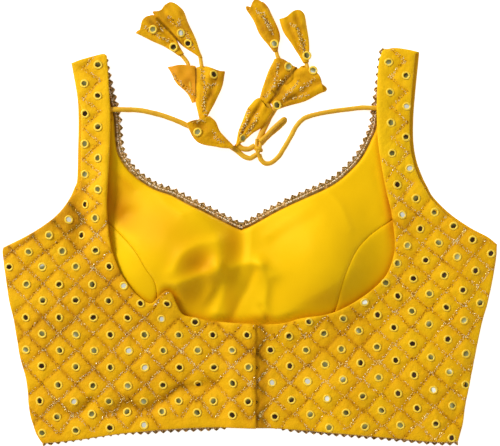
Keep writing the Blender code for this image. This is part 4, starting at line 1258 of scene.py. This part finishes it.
def make_embroidery():
    rng = np.random.default_rng(7)
    for name, work, low in BACKS:
        def top(x, y, low=low, work=work):
            return low(x, y) + BACK_CLOTH + work.relief(x, y)

        x, y = work.mirrors.T
        put_mirrors(name, frames_on(top, x, y, rng.uniform(0, 2 * math.pi, len(x))), rng)
        put_zari(name, work, top, rng)


def under(frames):
    """The same frames turned to face down, for work on the outer side of the front, which lies below."""
    centre, ahead, aside, up = frames
    return centre, ahead, -aside, -up


# The front's lattice: distance across and along between mirrors, and each panel's shift
FRONT_ACROSS = 32.0
FRONT_ALONG = 15.6
FRONT_SHIFTS = {"front_centre": 0.0, "front_side_left": 5.0, "front_side_right": -6.0}


def make_front_work():
    """Mirrors and gold lines on the front's outer side, flat against the surface that it lies on."""
    rng = np.random.default_rng(43)
    for name, shift in FRONT_SHIFTS.items():
        outline = OUTLINES[name]
        edge_tree = tree_of(along_edges(outline))
        places = np.array([
            (FRONT_ACROSS * (i + 0.5 * (j % 2)) + shift, FRONT_ALONG * j + shift)
            for i in range(-9, 10) for j in range(-13, 14)
        ])
        places += rng.normal(0, 0.5, places.shape)
        kept = places[inside_outline(places, outline)]
        kept = kept[near(edge_tree, *kept.T) > EDGE_ROOM]
        frames = under(frames_on(front_bottom, *kept.T, rng.uniform(0, 6, len(kept))))
        put_mirrors(name, frames, rng, flatness=0.55, ring=FLAT_RING)
        points, turns = bead_rows(zari_lines(places), *FRONT_ROWS, rng)
        keep = inside_outline(points, outline) & (rng.uniform(0, 1, len(points)) < 0.8)
        points, turns = points[keep], turns[keep]
        well_in = near(edge_tree, *points.T) > 1.6
        frames = under(frames_on(front_bottom, *points[well_in].T, turns[well_in]))
        put_beads(name, frames, rng, 0.42, lift=0.02)


# Lace net: where its sewn edge starts, heights of its two sides, and rows of points across it
LACE_INSET = 0.7
LACE_SIDES = (0.75, 0.15)
LACE_ROWS = (0.0, 0.35, 0.7, 1.0)
LACE_BEAD_Z = 0.9


def lace_runs(edges, hollow, point):
    """Each edge as a curve with its normals, the count of scallops along it and the width at every place."""
    runs = []
    for number, points in enumerate(edges):
        curve = smooth_curve(points, LACE_PITCH / 12)
        steps = len(smooth_curve(points, LACE_PITCH / 2)) - 1
        share = np.linspace(0, steps, len(curve))
        phase = (steps - share) if number == 0 else share
        from_point = np.abs((phase + 1) % 2 - 1)
        wave = np.clip(1 - 1.25 * from_point, 0, 1) ** 0.62
        runs.append((curve, side_normals(curve), phase, hollow + (point - hollow) * wave))
    return runs


def lace_band(name, runs):
    """The dark net with scallops along its free edge."""
    low_edge = np.vstack([curve - normals * LACE_INSET for curve, normals, _, _ in runs])
    high_edge = np.vstack([
        curve + normals * (SEAM_GAP + reach)[:, None] for curve, normals, _, reach in runs
    ])
    flat = np.vstack([low_edge + (high_edge - low_edge) * share for share in LACE_ROWS])
    z = front_bottom(*flat.T)
    corners = np.vstack([np.column_stack([flat, z + side]) for side in LACE_SIDES])
    count, last = len(low_edge), len(LACE_ROWS) - 1
    below = len(flat)
    faces = []
    for row in range(last):
        for a in range(row * count, (row + 1) * count - 1):
            b = a + count
            faces.append((a, a + 1, b + 1, b))
            faces.append((below + b, below + b + 1, below + a + 1, below + a))
    for a in range(count - 1):
        b = last * count + a
        faces.append((a + 1, a, a + below, a + 1 + below))
        faces.append((b, b + 1, b + 1 + below, b + below))
    build(name + "_band", corners, faces, LOOKS["lace"], replaces=[name],
          tones={"tone": 0.36 + 0.22 * noise(*corners[:, :2].T, 2.4, 4)})


def lace_beads(name, runs, hollow, point, rng):
    """Two rows of small beads along the band, and a fan of round ones at each point."""
    rows = []
    for curve, normals, phase, _ in runs:
        def bead(at, out, size, stretch, tone, curve=curve, normals=normals, phase=phase):
            i = int(np.argmin(np.abs(phase - at)))
            turn = math.atan2(normals[i][1], normals[i][0])
            rows.append((*(curve[i] + normals[i] * (SEAM_GAP + out)), turn, size, stretch, tone))

        for at in np.arange(0, phase.max(), 0.4):
            bead(at, 0.42 * hollow + rng.normal(0, 0.15), 0.62, 1.5, rng.normal(0.85, 0.18))
            bead(at + 0.2, 0.86 * hollow + rng.normal(0, 0.2), 0.62, 1.2, rng.normal(0.62, 0.28))
        for at in np.arange(0, phase.max() + 1e-6, 2.0):
            bead(at, point - 0.8, 0.9, 1.0, rng.normal(0.46, 0.12))
            for side in (-0.3, 0.3):
                bead(at + side, point - 2.2, 0.9, 1.1, rng.normal(0.42, 0.14))
            bead(at, point - 2.7, 0.6, 1.2, rng.normal(0.75, 0.15))
            for side in (-0.55, 0.55):
                bead(at + side, hollow + 0.1, 0.8, 1.0, rng.normal(0.42, 0.15))
            bead(at + 1.0, 0.95 * hollow - 0.3, 0.7, 1.0, rng.normal(0.7, 0.2))
    x, y, turn, size, stretch, tone = np.array(rows).T
    shape = round_bead()
    sizes = np.column_stack([size * stretch, size * 0.92, size * 0.8])
    corners, faces = copies(shape, frames_on(front_bottom, x, y, turn), sizes, LACE_BEAD_Z)
    tone = np.repeat(np.clip(tone, 0, 1), len(shape[0]))
    build(name + "_beads", corners, faces, LOOKS["lace"], tones={"tone": tone})


def make_laces():
    rng = np.random.default_rng(19)
    hem = (FRONT_HEM_LEFT[:-1] + FRONT_HEM_CENTRE[:-1] + FRONT_HEM_RIGHT)[::-1]
    laces = {
        "neck_lace": ([FRONT_NECK_LEFT, FRONT_NECK_RIGHT], LACE_WIDTH),
        "hem_lace": ([hem], HEM_LACE_WIDTH),
    }
    for name, (edges, (hollow, point)) in laces.items():
        runs = lace_runs(edges, 0.95 * hollow, point)
        lace_band(name, runs)
        lace_beads(name, runs, hollow, point, rng)


# Cloth tubes: faces round them, step along them and how uneven they are
TUBE_SIDES = 14
TUBE_STEP = 1.0
TUBE_WOBBLE = 0.05


def tube_mesh(points, diameter, reach=(0.0, 0.0), seed=1, spread=1.0):
    """A closed tube along a smooth route, pressed wider by a spread and longer by a reach at each end."""
    path = smooth_curve(points, TUBE_STEP)
    for end, inward, extra in ((0, 1, reach[0]), (-1, -2, reach[1])):
        ahead = (path[end] - path[inward]) / np.linalg.norm(path[end] - path[inward])
        tips = [path[end] + ahead * extra * share for share in (0.5, 1.0)] if extra else []
        path = np.array([*tips[::-1], *path] if end == 0 else [*path, *tips])
    along = np.gradient(path, axis=0)
    along /= np.linalg.norm(along, axis=1)[:, None]
    side = np.cross(along, (0, 0, 1))
    side /= np.linalg.norm(side, axis=1)[:, None]
    over = np.cross(side, along)
    turn = np.arange(TUBE_SIDES) * 2 * math.pi / TUBE_SIDES
    place = np.arange(len(path)) * TUBE_STEP
    uneven = noise(place[:, None] * 0.6, turn[None, :] * 2, 1.6, seed)
    radius = diameter / 2 * (1 - TUBE_WOBBLE + TUBE_WOBBLE * uneven)
    rings = (path[:, None, :] + side[:, None, :] * (np.cos(turn)[None, :] * radius * spread)[:, :, None]
             + over[:, None, :] * (np.sin(turn)[None, :] * radius)[:, :, None])
    corners = rings.reshape(-1, 3)
    faces = []
    for low in range(0, len(corners) - TUBE_SIDES, TUBE_SIDES):
        high = low + TUBE_SIDES
        for k in range(TUBE_SIDES):
            after = (k + 1) % TUBE_SIDES
            faces.append((low + after, high + after, high + k, low + k))
    faces += [tuple(range(TUBE_SIDES)), tuple(reversed(range(len(corners) - TUBE_SIDES, len(corners))))]
    return corners, faces, path


# How each bell's cloth is folded: trough lines from tip to mouth, as shares of the half width, with their
# depth and width
Pleat = namedtuple("Pleat", "tip mouth depth width")
BELL_FOLDS = {
    "latkan_l1": [Pleat(0.2, -0.1, 0.9, 0.3)],
    "latkan_l2": [Pleat(0.1, 0.45, 1.0, 0.22), Pleat(-0.5, -0.45, 0.7, 0.2)],
    "latkan_l3": [Pleat(0.2, 0.15, 1.2, 0.5)],
    "latkan_l4": [Pleat(0.5, 0.3, 1.2, 0.25), Pleat(-0.3, -0.35, 0.7, 0.22)],
    "latkan_l5": [Pleat(-0.5, -0.35, 1.2, 0.25), Pleat(0.3, 0.25, 0.8, 0.3)],
    "latkan_r1": [Pleat(-0.3, -0.25, 1.8, 0.2), Pleat(0.5, 0.5, 0.8, 0.25)],
    "latkan_r2": [Pleat(0.5, 0.45, 1.6, 0.22), Pleat(-0.4, -0.2, 0.6, 0.3)],
    "latkan_r3": [Pleat(0.45, 0.4, 1.4, 0.18), Pleat(-0.5, -0.4, 0.8, 0.25)],
    "latkan_r4": [Pleat(0.1, 0.2, 0.8, 0.3), Pleat(-0.5, -0.45, 0.7, 0.2)],
    "latkan_r5": [Pleat(-0.4, -0.35, 1.2, 0.25), Pleat(0.3, 0.4, 1.0, 0.22)],
}

# Places of the mirrors and routes of the gold lines on the bells
BELL_MIRRORS = {
    "latkan_l1": [(-48, 105.5)],
    "latkan_l2": [(-33.5, 159)],
    "latkan_l4": [(-89.5, 201), (-70.5, 185)],
    "latkan_l5": [(-63.8, 198), (-57, 188.5)],
    "latkan_r1": [(-6.7, 100.5)],
    "latkan_r2": [(35.8, 166.6)],
    "latkan_r3": [(59, 163), (25.5, 131)],
    "latkan_r4": [(23.2, 188)],
    "latkan_r5": [(53.2, 177)],
}
BELL_ZARI = {
    "latkan_l1": [[(-33, 106), (-30, 99), (-24, 96)], [(-54, 115), (-42, 116)]],
    "latkan_l2": [
        [(-44.5, 165), (-43, 155), (-41, 143), (-42.5, 130), (-41, 122)], [(-41, 148), (-31, 150)],
    ],
    "latkan_l3": [[(-72, 160), (-60, 147), (-51, 140)]],
    "latkan_l4": [[(-97, 203), (-84, 195), (-74, 190)], [(-86, 207), (-80, 199)]],
    "latkan_l5": [[(-64, 211), (-66, 203)], [(-60, 199), (-52, 184)], [(-75, 214), (-69, 205)]],
    "latkan_r1": [[(-1, 127), (-4, 113), (-9, 104)], [(8, 122), (2, 110), (-2, 104)]],
    "latkan_r2": [[(27, 170), (24, 154), (20, 143)], [(36, 158), (27, 150)], [(17, 142), (14, 138)]],
    "latkan_r3": [[(46, 154), (38, 144), (30, 136)], [(60, 155), (47, 145)], [(54, 141), (40, 137)]],
    "latkan_r4": [[(6, 219), (16, 208), (22, 196)], [(13, 216), (19, 203)]],
    "latkan_r5": [[(38, 207), (46, 199), (48, 184)], [(51, 192), (50, 181)]],
}

# How far the two sides of a bell stand out past its cut, and lines of painted shade where two bells press
# together
BELL_SPREADS = {"latkan_r2": (0.0, 2.8), "latkan_r3": (3.8, 0.0)}
PAINTED_CREVICE_SHADE = [
    [(-86, 211), (-67.3, 192.4), (-62.6, 184)], [(43.0, 165.1), (31.2, 150.9), (22.8, 139), (16.9, 131.9)],
    [(-50.2, 165), (-50.2, 137.8)],
]


# Beads fall onto a bell from this height, or go to its place nearest to a point close above it, unless that
# is too far aside, as a squared distance, or too steep
CAST_Z = 90.0
ABOVE_BELL_Z = 12.0
MISS_SQUARED = 6.0
STEEP = 0.2


def frames_cast(corners, faces, points, turns):
    """Frames on the upper side of a mesh, straight above plan points that it covers."""
    tree = BVHTree.FromPolygons([tuple(corner) for corner in corners], faces)
    rows = []
    for (x, y), turn in zip(points, turns):
        spot, up = tree.ray_cast((x, y, CAST_Z), (0.0, 0.0, -1.0))[:2]
        if spot is None:
            spot, up = tree.find_nearest((x, y, ABOVE_BELL_Z))[:2]
        missed = (spot[0] - x) ** 2 + (spot[1] - y) ** 2 > MISS_SQUARED
        if missed or abs(up[2]) < STEEP:
            continue
        up = up * (1 if up[2] > 0 else -1)
        ahead = Vector((math.cos(turn), math.sin(turn), 0.0))
        ahead = (ahead - up * ahead.dot(up)).normalized()
        rows.append((spot, ahead, up.cross(ahead), up))
    return [np.array([tuple(row[k]) for row in rows]) for k in range(4)]


# A bell's skin at its mouth, how deep its folds go, and how far its tip is pulled back
BELL_SKIN = 0.8
BELL_FOLD_DEPTH = 1.3
BELL_TIP_PULL = 1.3


class BellForm:
    """Fine sections of one cloth bell, from its tip to its mouth."""

    def __init__(self, name, bell):
        self.bell, self.folds = bell, BELL_FOLDS[name]
        self.seed = sum(map(ord, name))
        rows = smooth_curve(bell.sides, BELL_STEP)
        self.share = np.linspace(0, 1, len(rows))
        out = rows[:, 2:] - rows[:, :2]
        out /= np.linalg.norm(out, axis=1)[:, None]
        bulge = (smooth_step(self.share, -0.2, 0.2) * (1 - smooth_step(self.share, 0.75, 1.0)))[:, None]
        spread = BELL_SPREADS.get(name, (0.0, 0.0))
        self.a, self.b = rows[:, :2] - out * bulge * spread[0], rows[:, 2:] + out * bulge * spread[1]
        along = (self.a[-1] + self.b[-1] - self.a[0] - self.b[0]) / 2
        self.along = along / np.linalg.norm(along)

    def point(self, i, turn, shrink):
        """A corner of one section: no turn is at its second side, and a quarter turn is on top."""
        bell, t = self.bell, self.share[i]
        middle, half = (self.a[i] + self.b[i]) / 2, (self.b[i] - self.a[i]) / 2
        size = np.linalg.norm(half)
        half = half * (1.05 + (smooth_step(t, 0.0, 0.3) - shrink) / size)
        low = bell.tip_z + (bell.mouth_z - bell.tip_z) * t
        rise = BELL_TIP_RADIUS + (bell.height / 2 - BELL_TIP_RADIUS) * t
        across, over = math.cos(turn), math.sin(turn)
        lips = bell.crown * smooth_step(t, 0.75, 1.0) * (abs(over) + 0.4 * math.sin(3 * turn + self.seed))
        lips -= BELL_TIP_PULL * (1 - smooth_step(t, 0.0, 0.2))
        place = middle + half * across * (1 + 0.05 * math.sin(9 * t + self.seed)) + self.along * lips
        z = low + rise + (rise - shrink) * over
        z -= BELL_FOLD_DEPTH * self.groove(i, turn)
        if over > 0:
            z += float(noise(across * 9, t * 30, 5, self.seed)) * over * smooth_step(t, 0.0, 0.3)
        return (*place, z)

    def groove(self, i, turn):
        """Depth of the folds on the upper side."""
        t, across, over = self.share[i], math.cos(turn), max(math.sin(turn), 0.0)
        depth = 0
        for fold in self.folds:
            off = (across - fold.tip - (fold.mouth - fold.tip) * t) / fold.width
            depth += fold.depth * smooth_step(t, 0.02, 0.35) * over * math.exp(-(off ** 2))
        return depth


def bell_mesh(form):
    """Corners, faces and depth of folds, along the outside to the mouth and back inside."""
    around, last = BELL_AROUND, len(form.share) - 1
    skins = [(i, 0.0) for i in range(last + 1)] + [(i, BELL_SKIN) for i in range(last, 1, -1)]
    turns = [2 * math.pi * k / around for k in range(around)]
    corners = [form.point(i, turn, shrink) for i, shrink in skins for turn in turns]
    faces = []
    for low in range(0, len(corners) - around, around):
        high = low + around
        for k in range(around):
            after = (k + 1) % around
            faces.append((low + k, low + after, high + after, high + k))
    faces += [tuple(reversed(range(around))), tuple(range(len(corners) - around, len(corners)))]
    half = form.b[-1] - form.a[-1]
    if half[0] * form.along[1] - half[1] * form.along[0] > 0:
        faces = [tuple(reversed(face)) for face in faces]
    grooves = np.array([form.groove(i, turn) for i, _ in skins for turn in turns])
    return corners, faces, grooves


def make_bells():
    rng = np.random.default_rng(31)
    made = {}
    for name, bell in BELLS.items():
        form = BellForm(name, bell)
        corners, faces, grooves = bell_mesh(form)
        x, y, _ = np.array(corners).T
        tone = 0.46 + 0.26 * noise(x, y, 7, form.seed)
        # Painted shade in the folds and in the creases between bells
        tone -= 0.22 * grooves
        for line in PAINTED_CREVICE_SHADE:
            tone -= 0.8 * np.exp(-((distance_to(smooth_curve(line, 1.0), x, y) / 1.2) ** 2))
        tone = np.clip(tone, 0, 1)
        look = LOOKS["inside"] if name == "latkan_l3" else LOOKS["cloth"]
        pieces = [build(name + "_cloth", corners, faces, look, replaces=[name],
                        tones={"tone": tone})]
        if name in BELL_MIRRORS:
            places = BELL_MIRRORS[name]
            frames = frames_cast(corners, faces, places, rng.uniform(0, 6, len(places)))
            pieces += put_mirrors(name, frames, rng, lift=0.3)
        rows = [smooth_curve(line, 0.7) for line in BELL_ZARI[name]]
        points = np.vstack([row + rng.normal(0, 1.0, row.shape) for row in rows for _ in range(3)])
        frames = frames_cast(corners, faces, points, rng.uniform(0, math.pi, len(points)))
        pieces.append(put_beads(name, frames, rng, 0.5))
        made[name] = pieces
    return made


# The bow's ear as it lies pressed flat, its two strands side by side
FLAT_EAR = [
    (12.4, 96.6, 2.5), (17.4, 102, 2.3), (23.2, 107, 2.3), (29, 112, 2.3), (32.6, 115.8, 2.6),
    (33, 118.2, 3.6), (31, 117.6, 4.8), (27.4, 114.4, 5.2), (21.4, 108.8, 5.2), (15.6, 102.6, 5.4),
    (10.6, 98.2, 5.6),
]
# Strands that pull tight into the knot
KNOT_STRANDS = [
    [(6.8, 99.5, 3.4), (6.5, 94, 3.8), (7.0, 89, 4.2), (8.4, 85, 3.4), (9.6, 81.5, 2.4)],
    [(10.2, 98.5, 3.0), (10.0, 94, 4.0), (9.2, 89.5, 4.4), (7.2, 86, 3.6), (3.6, 83.2, 2.4)],
    [(5.6, 90.2, 2.6), (6.7, 91.0, 4.9), (9.3, 90.5, 5.5), (10.9, 89.4, 3.8), (10.7, 88.6, 2.6)],
]
# How full cloth tubes lie, how wide each is pressed, and how far each runs on into the knot or a bell
CORD_FULLNESS = 1.07
STRING_SPREAD = 1.55
SPREADS = {"tie_left": 1.3, "tie_right": 1.22, "bow_stem": 1.55, "bow_ear": 1.1, "bow_tail": 1.35}
REACHES = {
    "tie_left": (0.0, 3.0), "tie_right": (0.0, 2.5), "bow_stem": (3.0, 2.0), "bow_ear": (2.5, 2.0),
    "bow_tail": (2.5, 3.5), "string_l4": (1.5, 0.0), "string_l5": (2.5, 0.0), "string_r4": (1.5, 0.0),
    "string_r5": (1.5, 0.0),
}


# Strand that forks off the bow's stem to the second bell
FORK = [(20.5, 123, 2.4), (18.9, 128, 2.6), (15.6, 133.4, 2.8)]


def make_knot():
    """Strands of the two ties crossing and turning round each other."""
    corners, faces = [], []
    for number, strand in enumerate(KNOT_STRANDS):
        points, sides, _ = tube_mesh(strand, CORD - 0.2, seed=number + 3)
        faces += [tuple(index + len(corners) for index in face) for face in sides]
        corners += points.tolist()
    return build("tie_knot_strands", corners, faces, LOOKS["cord"], replaces=["tie_knot"])


def make_cords(bells):
    knot = make_knot()
    made = {}
    routes = {
        "tie_left": TIE_LEFT, "tie_right": TIE_RIGHT, "bow_stem": BOW_STEM, "bow_ear": FLAT_EAR,
        "bow_tail": BOW_TAIL, **STRINGS,
    }
    for name, points in routes.items():
        size = STRING if name in STRINGS else CORD
        spread = SPREADS.get(name, STRING_SPREAD)
        corners, faces, path = tube_mesh(points, size * CORD_FULLNESS, REACHES[name], spread=spread)
        piece = build(name + "_cord", corners, faces, LOOKS["cord"], replaces=[name])
        made[name] = (piece, path, size)
    corners, faces, _ = tube_mesh(FORK, CORD, spread=1.35, seed=9)
    fork = build("bow_stem_fork", corners, faces, LOOKS["cord"])
    carried = {
        "tie_left": [
            *bells["latkan_l1"], *bells["latkan_l2"], *bells["latkan_l3"], made["bow_tail"][0],
            *bells["latkan_r1"],
        ],
        "tie_right": [knot],
        "bow_stem": [fork, *bells["latkan_r2"], *bells["latkan_r3"]],
        "bow_ear": [],
        "string_l4": bells["latkan_l4"],
        "string_l5": bells["latkan_l5"],
        "string_r4": bells["latkan_r4"],
        "string_r5": bells["latkan_r5"],
    }
    for name, pieces in carried.items():
        piece, path, size = made[name]


# Flat cut of each panel: width and length in metres and the area of its shape
Cut = namedtuple("Cut", "width length area")


# Floor: half its size and its height, and lamps with their place, size and power, in metres and watts
FLOOR_SIZE = 9.0
FLOOR_Z = -0.0008
LAMPS = {"key": ((-2.8, 2.1, 2.45), 1.3, 178.0), "fill": ((0.8, -0.6, 1.4), 1.2, 2.0)}


def make_stage():
    mesh = bpy.data.meshes.new("floor")
    ends = ((-1, -1), (1, -1), (1, 1), (-1, 1))
    mesh.from_pydata([(FLOOR_SIZE * x, FLOOR_SIZE * y, FLOOR_Z) for x, y in ends], [], [(0, 1, 2, 3)])
    look = Look("white_paper", roughness=0.8, emission_strength=0.7)
    look.colour(look.speckle(4.0), (0.0, (0.92, 0.92, 0.92)), (1.0, (0.94, 0.94, 0.94)))
    look.put("Emission Color", (1.0, 1.0, 1.0))
    mesh.materials.append(look.material)
    floor = bpy.data.objects.new("floor", mesh)
    bpy.context.collection.objects.link(floor)

    world = bpy.data.worlds.new("studio")
    world.use_nodes = True
    world.node_tree.nodes["Background"].inputs[0].default_value = (1.0, 1.0, 1.0, 1.0)
    world.node_tree.nodes["Background"].inputs[1].default_value = 0.4
    bpy.context.scene.world = world
    bpy.context.scene.view_settings.view_transform = "Standard"

    for name, (place, size, power) in LAMPS.items():
        light = bpy.data.lights.new(name, "AREA")
        light.shape = "SQUARE"
        light.size = size
        light.energy = power
        lamp = bpy.data.objects.new(name, light)
        lamp.location = place
        lamp.rotation_euler = (-Vector(place)).to_track_quat("-Z", "Y").to_euler()
        bpy.context.collection.objects.link(lamp)


# Camera straight above, with the width that it sees in metres
CAMERA_PLACE = (0.0004, 0.0214)
CAMERA_FOCUS_Z = 0.005
CAMERA_LENS = 85.0
CAMERA_SENSOR = 36.0
VIEW_WIDTH = 0.465


def make_camera():
    camera = bpy.data.cameras.new("camera")
    camera.lens = CAMERA_LENS
    camera.sensor_width = CAMERA_SENSOR
    obj = bpy.data.objects.new("camera", camera)
    obj.location = (*CAMERA_PLACE, CAMERA_FOCUS_Z + VIEW_WIDTH * CAMERA_LENS / CAMERA_SENSOR)
    bpy.context.collection.objects.link(obj)
    bpy.context.scene.camera = obj


def paint_hooks():
    for hook in HOOKS:
        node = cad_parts[hook]
        node.data.materials.clear()
        node.data.materials.append(LOOKS["steel"])


make_panels()
make_embroidery()
make_front_work()
make_laces()
bells = make_bells()
make_cords(bells)
paint_hooks()
make_stage()
make_camera()
